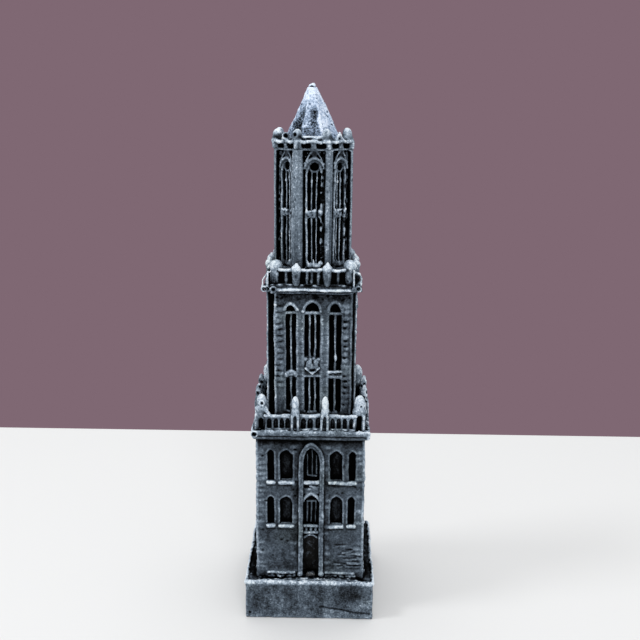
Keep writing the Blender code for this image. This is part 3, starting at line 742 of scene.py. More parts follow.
# ---------------- middle stage
def transom(face, c, half, first, wide):
    """Lumpy band across a lancet: a low arch, a slotted bar, or a panel in the wide one."""
    h = MID_HALF
    if wide:
        face.add(slab(c, half, h - 0.55 - 0.3, h - 0.1, 76.9, 82.6), 0.3, -0.25)
        strew(face.add, [(c + half * (-0.75 + 0.5 * k), h - 0.1, 82.3) for k in range(4)],
              (0.15, 0, 0.35), (0.45, 0.45, 0.5), soft=0.25, tone=0.5)
        face.add(beam(c, half, h - 0.2, 77.0, 77.0, 0.34), 0.2, 0.5)
        if face.turn:
            for k in range(3):
                face.add(lump((c - 1.1 + 1.1 * k, h, 79.8), (0.6, 0.45, 0.8)), 0.3, 0.4)
        return
    strew(face.add, [(c + half * (-0.9 + 0.45 * k), h - 0.1, 77.4) for k in range(5)],
          (0.15, 0, 0.35), (0.62, 0.5, 0.6), (0, 0, 0.15), 0.25, 0.6)
    if first:
        face.add(hood(c + 0.1, half * 0.85, 76.8, 76.9, 78.4, h + 0.05, 0.45), 0.35, 0.5)
    else:
        face.add(beam(c, half, h + 0.05, 78.3, 78.5, 0.32), 0.2, 0.7)
        face.cut(beam(c, half * 0.8, h + 0.25, 77.6, 77.7, 0.22), 0.2, -0.9)
        face.add(lump((c + 0.1, h - 0.1, 82.6), (0.42, 0.5, 1.1)), 0.25, 0.55)
        face.add(beam(c, half, h - 0.1, 76.7, 76.6, 0.27), 0.2, 0.4)


def lancet(face, index, c, half, count):
    """Tall window of a count of lights under a hood."""
    h, bay, foot, spring, apex = MID_HALF, MID_HALF - 0.55, 65.9, 95.8, 99.0
    first, wide = index == 0, count == 3
    # bay, tympanum and lights
    face.cut(opening(c, half, foot, spring, apex, bay, h + 2), 0.12, 0.1)
    face.cut(opening(c, half - 0.15, 96.3, 96.4, 98.9 + near(0.15), h - 1.8, h + 2), 0.12)
    pitch = 2 * half / count
    sill, head, bar = (83.0, 76.6, 0.27) if wide else (78.7, 76.2, 0.24)
    slot = pitch / 2 - bar + (0.06 if first else 0)
    for k in range(count):
        u = c - half + pitch * (k + 0.5)
        for z0, z1 in ((65.6, head + near(0.15)), (sill + near(0.2), 95.3 + near(0.15))):
            face.cut(opening(u, slot, z0, z1 - 0.5, z1 + 0.1, h - 2.2, h + 2), 0.12)
    face.add(beam(c, half, bay + 0.15, 95.9, 95.9 + near(0.2), 0.42), 0.2, 0.35)
    for k in range(1, count):
        u = c - half + pitch * k + near(0.08)
        for z0, z1 in ((66.0, 76.5), (82.8 if wide else 78.5, 95.5)):
            shaky_bar(face, u, bay + 0.05, z0, z1, 5, 0.07, 0.27, 0.12, 0.1)
    # hood with curled ends, and jambs
    low, apex, tone = (96.7, 98.8, 0.65) if first else (96.2, 99.6, 0.2)
    face.add(hood(c, half + 0.1 - 0.1 * wide, low, 96.6, apex, h + 0.08, 0.46), 0.22, tone)
    for side in ENDS:
        if first or (wide and side < 0) or face.turn:
            face.add(lump((c + side * (half + 0.3), h + 0.25, low + 0.3), (0.5, 0.45, 0.42)), 0.3, 0.35)
    for side in ENDS:
        face.add(upright(c + side * (half + 0.05), h - 0.2, foot, 95.6, 0.2), 0.2, 0.25)
    transom(face, c, half, first, wide)
    strew(face.add, [(c, h - 0.3, 65.6)] * 6, (half, 0, 0.25), (0.35, 0.4, 0.35), tone=0.55)


def beaded_piers(face, shift):
    """Rows of beads down both edges of the two piers between the lancets."""
    h = MID_HALF
    for a, b in ((LANCETS[0][0] + 1.75, LANCETS[1][0] - 2.6), (LANCETS[1][0] + 2.6, LANCETS[2][0] - 2.05)):
        a, b = a + shift, b + shift
        face.stain_and_painted_light(lump(((a + b) / 2, h, 80), ((b - a) / 2 + 0.3, 1, 18)), 0.4, 0.18)
        for edge in (a + 0.22, b - 0.22):
            z = 66.5
            while z < 94.5:
                face.add(lump((edge + near(0.05), h - 0.03, z), (0.27, 0.2, 0.25)), 0.15, 0.4)
                z += 0.72 + near(0.08)
        for k in range(9):
            z = 68 + near(1) + 3.1 * k
            face.cut(rod((a + 0.3, h + 0.1, z), (b - 0.3, h + 0.1, z), 0.17), 0.15, -0.15)


def paired_quoin(face, u, z):
    """Two lumps side by side over a groove."""
    h = MID_HALF
    step = 0.55 * (1 if RNG.uniform() < 0.5 else -1)
    strew(face.add, [(u + step, h - 0.02, z)], STILL, (0.85, 0.42, 0.72), (0.2, 0, 0), 0.3, 0.2, 0.15)
    strew(face.add, [(u - step, h - 0.05, z)], (0, 0, 0.4), (0.6, 0.3, 0.5), STILL, 0.3, 0.05, 0.2)
    strew(face.cut, [(u, h + 0.15, z + 0.95)], (0.7, 0, 0), (0.75, 0.32, 0.24), STILL, 0.25, -0.6)


def swollen_quoin(face, u, z):
    """Single swelling, which is flatter and seldom undercut low on the front."""
    h, plain = MID_HALF, 60.0 if face.turn else 81.0
    swell, tone, vary, chance = (0.5, 0.15, 0.2, 0.75) if z > plain else (0.4, 0.1, 0.15, 0.45)
    strew(face.add, [(u, h, z)], (0.4, 0, 0.15), (0.95, swell, 0.75), (0.3, 0, 0.12), 0.35, tone, vary)
    if RNG.uniform() < chance and z < 96:
        strew(face.cut, [(u - 0.4, h + 0.2, z + 0.82)], (0.3, 0, 0), (0.62, 0.48, 0.36), tone=-0.9)


def quoins(face, shift):
    """Rough blocks up the outer strips of a side."""
    h, course = MID_HALF, 1.78
    for side, z, quoin in ((-1, 74.0, paired_quoin), (1, 67.5, swollen_quoin)):
        u = side * 9.75 + shift
        face.stain_and_painted_light(slab(u, 1.7, h - 1, h + 1, 66, 99, 0.1), 0.4, -0.12)
        while z < 98.5:
            quoin(face, u, z)
            z += course + near(0.12)


def make_middle_tower():
    clay = start("middle_tower", top=MID_TOP)
    h, f, foot, top = MID_HALF, MID_FACE, LEDGE_TOP - 0.4, MID_TOP + 0.4
    faces = [(-10.75, 11.75)] + [(-f + near(0.2), f + near(0.2)) for _ in range(3)]
    clay.add(block((-f + 0.3, -f + 0.3, foot), (f - 0.3, f - 0.3, top)), 0.2, -0.9)
    for turn, (left, right) in enumerate(faces):
        clay.face(turn).add(block((left, 0, foot), (right, h, top), 0.35))
    for turn, (left, right) in enumerate(faces):
        face = clay.face(turn)
        face.stain_and_painted_light(block((right + 0.1, f - 0.1, foot), (h + 0.6, h + 0.2, MID_TOP), 0.1), 0.3, -0.8)
        face.stain_and_painted_light(block((-h - 0.6, f - 0.1, foot), (left - 0.1, h + 0.2, MID_TOP), 0.1), 0.3, -0.8)
        for u in (left + 0.2, right - 0.2):
            shaky_bar(face, u, h - 0.05, foot + 1, MID_TOP, 11, 0.07, 0.28, 0.25, 0.7)
    for turn in range(4):
        face = clay.face(turn)
        shift = side_shift(turn, 0.35)
        for index, (centre, half, count) in enumerate(LANCETS):
            lancet(face, index, centre + shift + near(0.06), half, count)
        beaded_piers(face, shift)
        quoins(face, shift)
        # painted shade under the upper cornice, and painted shade at the foot of the stage behind the lower
        # parapet
        face.stain_and_painted_light(slab(0, 11.6, h - 1, h + 1, 99.9, 101.2), 0.5, -0.42)
        face.stain_and_painted_light(slab(0, 11.6, h - 1.5, h + 1, 60.0, 65.6), 0.8, -0.75)
        strew(face.cut, [(0, h + 0.1, 100.9)] * 20, (11, 0, 1.0), (0.35, 0.28, 0.25), tone=-0.8)


def make_shield():
    """Plain heater shield hung under two lumps, with a single chevron-shaped fold."""
    clay = start("shield_boss", 1.6)
    c, h = 0.35, MID_HALF
    for u, w, z, size, soft, tone in ((0.0, -0.25, 80.3, (1.75, 0.75, 2.0), 0.3, 0.45),
                                      (-0.75, 0.1, 81.1, (1.15, 0.75, 1.15), 0.25, 0.6),
                                      (1.0, 0.1, 81.4, (0.85, 0.65, 0.85), 0.25, 0.65),
                                      (-1.5, 0.0, 80.2, (0.6, 0.5, 0.6), 0.25, 0.35),
                                      (1.2, 0.05, 80.1, (0.7, 0.55, 0.6), 0.25, 0.4),
                                      (-0.1, 0.15, 79.9, (0.7, 0.6, 0.8), 0.3, 0.5)):
        clay.add(lump((c + u, h + w, z), size), soft, tone)
    for side in ENDS:
        clay.add(rod((c + side * 2.1, h + 0.15, 79.5), (c, h + 0.35, 77.9), 0.36), 0.2, 0.7)
    clay.cut(lump((c, h + 0.4, 78.9), (0.9, 0.45, 0.35)), 0.25, -0.7)
    clay.cut(lump((c + 0.1, h + 0.6, 81.6), (0.22, 0.4, 0.7)), 0.2, -0.5)


# ---------------- upper gallery
def make_upper_cornice():
    clay = start("upper_cornice")
    h, f, top = 13.8, 12.0, CORNICE_TOP
    for low, high, out, tone in ((MID_TOP - 0.3, 103.0, -0.75, 0.15), (102.4, 103.5, -0.15, 0.2),
                                 (103.3, top - 0.05, -0.1, -0.4)):
        clay.add(block((-f, -h - out, low), (f, h + out, high), 0.42), 0.25, tone)
        clay.add(block((-h - out, -f, low), (h + out, f, high), 0.42), 0.25, tone)
    for turn in range(4):
        face = clay.face(turn)
        spots = np.linspace(-f + 0.3, f - 0.3, 14)
        for a, b in zip(spots, spots[1:]):
            z = 103.0 + near(0.08)
            face.add(rod((a, h - 0.3, z), (b, h - 0.3, z + near(0.06)), 0.4 + near(0.04)), 0.15, 1.15)
        face.add(beam(0, f - 0.5, h - 0.95, 101.95, 101.9, 0.28), 0.2, 0.35)
        # painted shade on the walkway behind the parapet
        face.stain_and_painted_light(slab(0, f, 8, h - 0.2, top - 0.7, top + 1, 0.2), 0.2, -1.2)
        strew(face.add, [(0, h - 0.6, top - 0.1)] * 26, (11.5, 0.3, 0), (0.5, 0.24, 0.2), (0.2, 0, 0),
              0.15, 0.9, 0.3)
    for u in (-10.9, -13.4):
        clay.cut(pipe(u, 12.6, 16.0, 103.1, 0.5))


def upper_post(post, u, line, foot):
    """Round post with a button on its cap."""
    top = 110.5 + near(0.15)
    post.add(upright(u, line, foot, top - 1.7, 1.12, 1.2), 0.3, 0.35)
    post.add(lump((u + near(0.1), line + 0.05, top - 1.6), (1.5, 1.35, 1.25)), 0.35, 0.75)
    post.add(lump((u + 0.1, line, top - 0.4), (0.5, 0.5, 0.6)), 0.35, 0.9)
    post.cut(lump((u + near(0.5), line + 1.3, foot + 2.6), (0.45, 0.3, 0.6)), 0.3, -0.5)
    post.stain_and_painted_light(lump((u, line + 1, foot + 1.0), (1.5, 1.5, 1.2)), 0.6, -0.3)


def corner_post(post, u, w, foot):
    """Stout pitted post under a dome."""
    top = 111.2
    post.add(upright(u, w, foot, top - 1.9, 1.62, 1.72), 0.3, 0.4)
    post.add(lump((u + near(0.15), w, top - 1.6), (1.85, 1.85, 1.6)), 0.5, 0.55)
    for k in range(4):
        a = RNG.uniform(-2.4, 0.8)
        spot = (u + 1.75 * math.cos(a), w - 1.75 * math.sin(a), foot + 1 + 0.9 * k)
        post.cut(lump(spot, (0.3, 0.3, 0.35)), 0.25, -0.5)
    post.cut(lump((u - 0.7, w + 1.85, top - 2.7), (0.35, 0.3, 0.5)), 0.3, -0.7)
    post.stain_and_painted_light(lump((u + 0.8, w + 0.8, foot + 3.0), (2.2, 2.2, 3.6)), 0.6, 0.25)


def corner_spout(ear):
    """Looped ear over two dark mouths."""
    turn, u, w = ear.turn, 12.6, 12.6
    mouth, tip = 103.2, 103.4
    loop = ((u - 0.4, 108.0), (u + 0.9, 107.6), (u + 1.6, 106.2), (u + 1.5, 104.8), (u + 1.0, 103.9))
    chain(ear, loop, w, 0.3, 0.05, 0.25, 0.5, 0.2)
    ear.add(block((u - 0.8, w - 0.3, 103.5), (u + 1.1, w + 0.3, 107.3), 0.25), 0.25, -1.4)
    ear.add(rod((u - 1.0, w, mouth), (u + 1.45, w, mouth), 0.7, 0.8), 0.3, 0.45 if turn else -0.6)
    ear.add(pipe(u - 0.5, w - 0.6, w + 1.35, mouth, 0.7, 0.75), 0.3, 0.45 if turn else 0.1)
    ear.cut(rod((u + 0.9, w, mouth), (u + 3.2, w, mouth), 0.52))
    if turn:
        ear.cut(pipe(u - 0.5, w + 0.8, w + 3.0, mouth, 0.52))
        ear.add(ring((u - 0.5, w + 1.3, mouth), 0.72, 0.2), 0.2, 0.8)
    else:
        ear.add(rod((u - 0.6, w + 1.0, 103.0), (u - 0.6, w + 0.3, 108.6), 0.26), 0.2, 0.5)
        ear.add(ring((u + 0.75, w + 0.8, tip), 0.7, 0.24), 0.2, 0.45)
        ear.cut(pipe(u + 0.75, w, w + 2.5, tip, 0.48), 0.15, -1.4)
    ear.add(rod((u + 0.2, w + 0.2, 104.3), (u + 1.5, w + 0.2, 105.6), 0.2), 0.2, 0.5)
    if turn == 3:
        # second loop and mouths, towards the left of the front
        front = ear.face(0)
        loop = ((-11.8, 108.2), (-12.9, 107.4), (-13.9, 105.8), (-14.0, 103.9))
        chain(front, loop, 12.7, 0.25, 0.04, 0.2, 0.5)
        for x, out in ((-10.9, 13.9), (-13.5, 13.3)):
            front.add(pipe(x, out - 1.0, out, 103.1, 0.62, 0.7), 0.3, 0.2)
            front.add(ring((x, out + 0.15, 103.1), 0.74, 0.22), 0.2, 0.4)
            front.cut(pipe(x, out - 1.8, out + 1.5, 103.1, 0.5), 0.15, -1.2)


def make_upper_gallery():
    line, foot = 12.6, CORNICE_TOP
    for turn, side in enumerate(SIDES):
        face = start("upper_parapet_" + side, 1.5, turn=turn)
        face.add(slab(0, 9.6, line - 0.6, line - 0.1, foot - 0.5, 108.2, 0.2), 0.2, -1.8)
        for u0, u1, count in ((-9.5, -5.2, 2), (-3.3, 3.4, 4), (5.3, 9.5, 2)):
            sagging_rail(face, u0, u1, line + 0.05, 108.75, 0.38, 0.8, 0.35 if count == 2 else 0.15)
            step = (u1 - u0) / count
            for k in range(1, count):
                u = u0 + step * k + near(0.15)
                top = 108.3 if RNG.uniform() < 0.7 else 106.5
                face.add(rod((u, line, foot), (u + near(0.15), line, top), 0.26, 0.36), 0.2, near(0.35))
                strew(face.add, [(u, line + 0.1, foot + 1.6)], (0.2, 0, 0.9), (0.4, 0.32, 0.6), STILL,
                      0.25, 0.3, 0.3)
            face.add(rod((u0, line - 0.1, 108.1), (u1, line - 0.1, 108.0), 0.25), 0.3, -1.2)
        face.add(slab(0, 9.6, line - 0.8, line + 0.45, foot - 0.6, foot + 0.2, 0.25), 0.3, 0.0)
        for number, u in enumerate((-4.45, 4.35), 1):
            upper_post(start("upper_post_%s_%d" % (side, number), 1.6, turn=turn), u, line, foot)
        u, w = (11.0, 10.3) if turn == 3 else (10.9, 10.9)
        corner_post(start("upper_post_corner_%d" % (turn + 1), 1.6, turn=turn), u, w, foot)
        corner_spout(start("corner_spout_%d" % (turn + 1), 1.6, turn=turn))


# ---------------- lantern, crown and spire
def lantern_window(face, c):
    """Two rows of three slits behind thin bars, under an arch with a rose."""
    h = LANTERN_HALF
    face.add(opening(c, 2.35, 108.3, 136.2, 139.6, h - 2.6, h - 0.75, 0.15, 0.7), 0.15, 0.0)
    face.cut(opening(c, 1.85, 110.6, 136.2, 138.9, h - 1.35, h + 1, 0.1, 0.6), 0.12, -0.6)
    for z0, z1 in ((110.3, 123.7), (125.2, 137.3)):
        for k in (-1, 0, 1):
            apex = z1 - 0.6 + near(0.15)
            face.cut(opening(c + 1.3 * k, 0.48, z0, z1 - 0.9, apex, h - 3.2, h + 1, 0.1), 0.12)
    for side in ENDS:
        spots = np.linspace(109.6, 136.8, 9)
        for a, b in zip(spots, spots[1:]):
            shaky_bar(face, c + side * 2.1, h - 0.72, a, b, 1, 0.08, 0.29, 0.15, 0.32)
            shaky_bar(face, c + side * 0.68, h - 1.2, a, b, 1, 0.09, 0.2, 0.12, 0.35)
        face.add(lump((c + side * 0.68, h - 1.1, 133.6 + near(0.8)), (0.26, 0.28, 0.55)), 0.15, 0.6)
    face.add(hood(c, 1.85, 135.8, 136.0, 138.5, h - 0.65, 0.3, 0.6), 0.1, 0.15)
    face.add(hood(c, 2.55, 136.7, 136.6, 139.7, h - 0.45, 0.36, 0.8), 0.1, 0.35)
    face.cut(hood(c, 2.2, 136.9, 136.3, 139.1, h - 0.25, 0.2, 0.7), 0.12, -0.5)
    # rose
    face.add(lump((c, h - 1.3, 137.0), (1.6, 0.5, 1.3)), 0.2, -0.35)
    face.cut(lump((c, h - 0.8, 137.55), (1.3, 2.0, 1.25)), 0.15)
    face.add(ring((c, h - 1.0, 137.4), 1.35, 0.2), 0.15, 0.25)
    # carved knots at half height
    for u, size in ((-1.75, 0.6), (-0.9, 0.95), (0.0, 0.9), (1.75, 0.75)):
        strew(face.add, [(c + u, h - 0.75, 124.3)], (0.1, 0, 0.2), (size, 0.6, 1.15), (0, 0, 0.2), 0.25, 0.35)
    for k in range(8):
        u = c + 2.1 * (-1 + k / 3.5)
        strew(face.add, [(u, h - 0.35, 124.9)], (0.1, 0, 0.5), (0.32, 0.3, 0.4), (0, 0, 0.15), 0.15, 0.8, 0.3)
        strew(face.cut, [(u, h - 0.2, 124.2)], (0.25, 0, 0.7), (0.2, 0.3, 0.2), soft=0.12, tone=-0.9)
    face.cut(lump((c + 0.95, h - 0.3, 124.4), (0.25, 0.5, 1.1)), 0.15, -0.9)


def lantern_grit(face, eighth, c, bay):
    """Grit in the dark slits beside a window. On some sides it chokes one of them."""
    h, front = LANTERN_HALF, eighth == 0
    if eighth in (0, 7) or eighth % 3 == 1:
        side = -1 if eighth == 7 else 1
        middle = side * (bay - 0.3)
        face.add(slab(c * 0.5 + middle, 0.5, h - 1.8, h - 0.75, 109.0, 141.6, 0.2), 0.2, -0.15)
        strew(face.cut, [(middle, h - 0.75, 125)] * 70, (0.6, 0, 16), (0.32, 0.3, 0.45), (0, 0, 0.25),
              0.15, -1.3)
    for k in range(60):
        side = 1 if k % 2 or front else -1
        u = c * 0.5 + side * (bay - 0.1 - abs(near(0.9)))
        strew(face.add, [(u, h - 1.5, 124.5)], (0, 0, 14.5), (0.28, 0.4, 0.4), (0, 0, 0.2), 0.15, 0.3, 0.5)
    for k in range(5):
        u = c + 1.7 * (-1 + k / 2) + near(0.2)
        spike = rod((u, h - 0.5, 109.5), (u + near(0.25), h - 0.6, 110.7 + near(0.7)), 0.5 + near(0.1), 0.2)
        face.add(spike, 0.2, 0.9 if front else near(0.5))
    face.add(slab(c, 2.6, h - 1.9, h - 0.7, 108.2, 109.5, 0.4), 0.3, -0.2 if front else -1.0)
    for _ in range(9):
        spot = (c + near(2.4), h - 0.6, 109.2 + near(0.9))
        face.add(lump(spot, (0.45, 0.4, 0.4 + near(0.15))), 0.2, near(0.7))


def ogee_gable(face, c, bay):
    """Curved gable over a window, with a bar from its tip to each pier."""
    h = LANTERN_HALF
    path = ((2.3, 138.9), (1.5, 140.4), (0.7, 141.6), (0.35, 143.2))
    for side in ENDS:
        for (a, za), (b, zb) in zip(path, path[1:]):
            curve = rod((c + side * a, h - 0.5, za), (c + side * b, h - 0.4, zb), 0.25)
            face.add(curve, 0.15, 0.1 + near(0.3))
        face.add(lump((c + side * 2.5, h - 0.6, 138.4 + near(0.3)), (0.38, 0.4, 0.42)), 0.2, 0.55)
        foot, tip = (side * bay, h - 0.8, 142.1), (c + side * 0.9, h - 0.5, 142.1 + near(0.2))
        face.add(rod(foot, tip, 0.25), 0.15, 0.75)
    face.add(lump((c, h - 1.0, 141.0), (0.9, 0.8, 1.8)), 0.4, -0.5)
    strew(face.add, [(c, h - 1.2, 140.8)] * 5, (2.6, 0, 0.9), (0.3, 0.3, 0.3), soft=0.15, tone=0.2, vary=0.5)


def make_lantern():
    clay = start("lantern", top=142.5)
    h, foot = LANTERN_HALF, CORNICE_TOP - 0.4
    clay.add(octagon(h, foot, 142.2), 0.2, 0.35)
    edge = h * CORNER
    bay = edge - 1.4
    for eighth in range(8):
        face = clay.face(eighth / 2)
        c = 0.4 if eighth == 0 else near(0.12)
        if eighth in (1, 7):
            far = bay if eighth == 1 else -bay
            face.cut(slab(far, 0.6, h - 1.7, h + 2, 109.5, 141.5), 0.2, -0.9)
        left = -bay + (0.6 if eighth == 0 else c * 0.5)
        right = bay + (-0.35 if eighth == 7 else c * 0.5)
        face.cut(block((left, h - 1.7, 108.8), (right, h + 2, 141.8)))
        lantern_window(face, c)
        lantern_grit(face, eighth, c, bay)
        ogee_gable(face, c, bay)
        # pits and drips on the flat strip at the corner
        strew(face.cut, [(edge - 0.7, h + 0.05, 123)] * 5, (0.6, 0, 12), (0.18, 0.22, 0.22),
              soft=0.12, tone=-0.8)
        if eighth == 0:
            face.stain_and_painted_light(block((-5.8, h - 2.4, 108.5), (-2.6, h + 0.5, 142.0), 0.2), 0.4, 0.12)
        face.add(lump((edge - 0.3, h - 0.4, 107.8), (1.2, 0.8, 1.4)), 0.5, -0.3)
        face.stain_and_painted_light(lump((edge + near(0.5), h, 109.6), (0.6, 1.0, 1.0)), 0.4, -0.7)


def crown_rim(face, h, edge):
    """Wavering rail between two knobs."""
    wave = (0.0, 0.1, -0.15, 0.0, 0.25, 0.15, -0.2, 0.05, 0.0)
    steps, z = len(wave) - 1, 144.25
    spots = [(-edge + 2 * edge * k / steps, h - 0.3 + near(0.12), z + swing + near(0.1))
             for k, swing in enumerate(wave)]
    spots[0], spots[-1] = (-edge, h - 0.35, z), (edge, h - 0.35, z)
    for a, b in zip(spots, spots[1:]):
        face.add(rod(a, b, 0.4 + near(0.09)), 0.25, 0.5 + near(0.25))


def crown_knob(face, h):
    """Knob at the left end of one side of the crown."""
    inner = h - 1.7
    u, top = -inner * CORNER, 147.7 + near(0.25)
    face.add(lump((u, inner, 146.0), (1.38 + near(0.1), 1.35, top - 146.0)), 0.35, 0.6)
    face.add(lump((u, inner, 145.0), (1.5, 1.5, 0.9)), 0.5, 0.2)
    # painted shade on the lower right of the knob, and a painted highlight on its top
    face.stain_and_painted_light(lump((u + 0.9, inner + 0.3, 145.4), (0.9, 1.4, 0.9)), 0.4, -0.9)
    face.stain_and_painted_light(lump((u + 0.4, inner + 1.0, 145.4), (0.9, 0.9, 0.7)), 0.4, -0.9)
    face.stain_and_painted_light(lump((u, inner, top), (1.0, 1.0, 0.8)), 0.4, 0.3)


def make_crown():
    clay = start("crown", 1.2)
    h, low, top = 11.6, 142.0, 144.75
    clay.add(octagon(h - 0.45, low, top - 0.2), 0.2, 0.3)
    edge = (h - 0.35) * CORNER
    for eighth in range(8):
        face = clay.face(eighth / 2)
        for side in ENDS:
            u = side * 2.05 + (0.25 if eighth == 0 else near(0.15))
            face.cut(slab(u, 1.3, h - 1.6, h + 1, 142.45 + near(0.1), 143.9 + near(0.05), 0.5), 0.15)
        crown_rim(face, h, edge)
        face.add(rod((-edge, h - 0.5, 142.6), (-edge, h - 0.45, 144.0), 0.55), 0.4, 0.45)
        face.stain_and_painted_light(slab(0, 3.2, h - 2.6, h - 0.95, 144.6, 145.4, 0.1), 0.2, -0.9)
        crown_knob(face, h)
        # lumps, and a gablet or a rail, between the knobs
        strew(face.add, [(u, h - 1.1, 145.0) for u in (-1.2, 0.0, 1.2)], (0.25, 0, 0.2), (0.7, 0.55, 0.55),
              (0, 0, 0.2), 0.25, 0.75, 0.4)
        if eighth % 2:
            for u in (-1.3, 1.3):
                face.add(rod((u, h - 0.9, 144.8), (near(0.2), h - 0.9, 146.3), 0.28), 0.2, 0.8)
            face.cut(lump((0, h - 0.5, 145.2), (0.5, 0.5, 0.4)), 0.2, -0.9)
        else:
            sagging_rail(face, -3.0, 3.0, h - 1.2, 145.5, 0.36, 0.95, 0.25)
            face.cut(lump((-1.0, h - 0.6, 145.0), (0.9, 0.5, 0.25)), 0.2, -0.9)
    # the front left knob has a pit, and a small ring stands beside it
    clay.cut(lump((-4.9, 10.9, 146.1), (0.5, 0.7, 0.5)))
    clay.add(lump((-7.4, 8.2, 145.7), (1.0, 0.9, 1.0)), 0.2, -1.0)
    clay.add(ring((-7.4, 8.9, 145.8), 0.82, 0.24), 0.2, 0.15)
    clay.add(rod((-8.1, 9.0, 145.2), (-7.0, 9.2, 144.7), 0.3), 0.2, 0.6)
    clay.cut(lump((-7.4, 9.2, 145.8), (0.6, 0.9, 0.6)), 0.15, -1.4)


def make_spire():
    clay = start("spire", 1.4)
    foot, taper = 145.2, (7.7 - 1.3) / (158.7 - 145.2)
    clay.add(octagon(8.05, 144.4, 159.0, taper, 0.25), 0.2, 0.0)
    low, high = 7.65, 1.35
    for eighth in range(8):
        face = clay.face(eighth / 2)
        ridge = rod((-low * CORNER, low - 0.22, foot), (-high * CORNER, high - 0.15, 158.6), 0.22, 0.15)
        face.add(ridge, 0.5, 0.05)
        for _ in range(4):
            face.stain_and_painted_light(lump((near(2.2), 7.0, 147.0 + 2 * near(1)), (0.8, 2.5, 0.9)), 0.7, -0.35)
    for x, w, z, wide, tall, tone in ((-4.3, 4.6, 148.2, 1.5, 2.0, -1.5), (-2.9, 4.2, 151.2, 0.9, 2.2, -1.1),
                                      (0.5, 6.0, 151.4, 1.0, 1.9, -1.7), (0.2, 6.5, 148.8, 1.2, 0.9, -1.3),
                                      (-0.9, 7.0, 147.0, 2.3, 0.6, -1.7)):
        clay.stain_and_painted_light(lump((x, w, z), (wide, 3, tall)), 0.5, tone)
    clay.stain_and_painted_light(lump((3.2, 6.0, 151.5), (1.4, 4, 4.5)), 0.8, 0.3)
    clay.stain_and_painted_light(lump((0.6, 8.0, 145.4), (3.2, 2, 0.6)), 0.4, 0.4)
    for _ in range(160):
        a, z = RNG.uniform(0, 2 * math.pi), RNG.uniform(145.5, 157)
        r = 7.7 - taper * (z - foot) + 0.1
        clay.cut(lump((r * math.sin(a), r * math.cos(a), z), (0.22, 0.22, 0.2)), 0.15, -0.5)


def make_finial():
    clay = start("finial", 1.0)
    clay.add(upright(0.0, 0.0, 158.3, 159.0, 1.12, 0.95), 0.2, 0.0)
    clay.cut(ring((0, 0, 159.0), 1.15, 0.26, flat=True), 0.2, -0.9)
    clay.add(lump((-0.55, 0.0, 159.3), (0.5, 0.6, 0.5)), 0.2, 0.4)
    clay.add(lump((0.3, 0.1, 159.55), (0.62, 0.65, 0.6)), 0.2, 0.9)
    # a small hollow under the knob, and painted shade under it
    clay.cut(lump((-0.2, 1.0, 158.95), (0.5, 0.7, 0.42)), 0.15, -2.5)
    clay.stain_and_painted_light(lump((-0.2, 1.0, 158.8), (0.7, 0.9, 0.4)), 0.3, -1.2)


# ---------------- from clay to painted meshes
KEEP = 0.5                                  # share of the faces kept where the surface is simple


def share_of_solid():
    """Every piece in one grid, 1 inside and 0 outside, and the first cell of that grid."""
    rim = 4
    first = np.min([clay.first for _, clay in BODIES], axis=0) - rim
    last = np.max([clay.first + clay.size for _, clay in BODIES], axis=0) + rim
    solid = np.zeros(last - first, np.float32)
    for _, clay in BODIES:
        cells = tuple(slice(a, a + n) for a, n in zip(clay.first - first, clay.size))
        inside = np.clip(0.5 - clay.field / np.float32(GRAIN), 0, 1)
        solid[cells] = np.maximum(solid[cells], inside)
    return solid, first


def mesh_of(name, points, faces):
    mesh = bpy.data.meshes.new(name)
    mesh.vertices.add(len(points))
    mesh.vertices.foreach_set("co", (points * MM).astype(np.float32).ravel())
    mesh.loops.add(faces.size)
    mesh.loops.foreach_set("vertex_index", faces.astype(np.int32).ravel())
    mesh.polygons.add(len(faces))
    mesh.polygons.foreach_set("loop_start", np.arange(0, faces.size, 4, dtype=np.int32))
    mesh.polygons.foreach_set("loop_total", np.full(len(faces), 4, np.int32))
    mesh.update(calc_edges=True)
    mesh.validate()
    return mesh


def thinned(obj):
    """Leaves the object a share of its faces, fewest where it is simple, and gives its new mesh."""
    mesh = obj.data
    thin = obj.modifiers.new("thin", "DECIMATE")
    thin.ratio = KEEP
    slim = bpy.data.meshes.new_from_object(obj.evaluated_get(bpy.context.evaluated_depsgraph_get()))
    obj.modifiers.clear()
    obj.data = slim
    bpy.data.meshes.remove(mesh)
    slim.validate()
    return slim


def read_back(values, name, count):
    """Vectors of a mesh collection as rows."""
    rows = np.empty(count * 3, np.float32)
    values.foreach_get(name, rows)
    return rows.reshape(-1, 3)


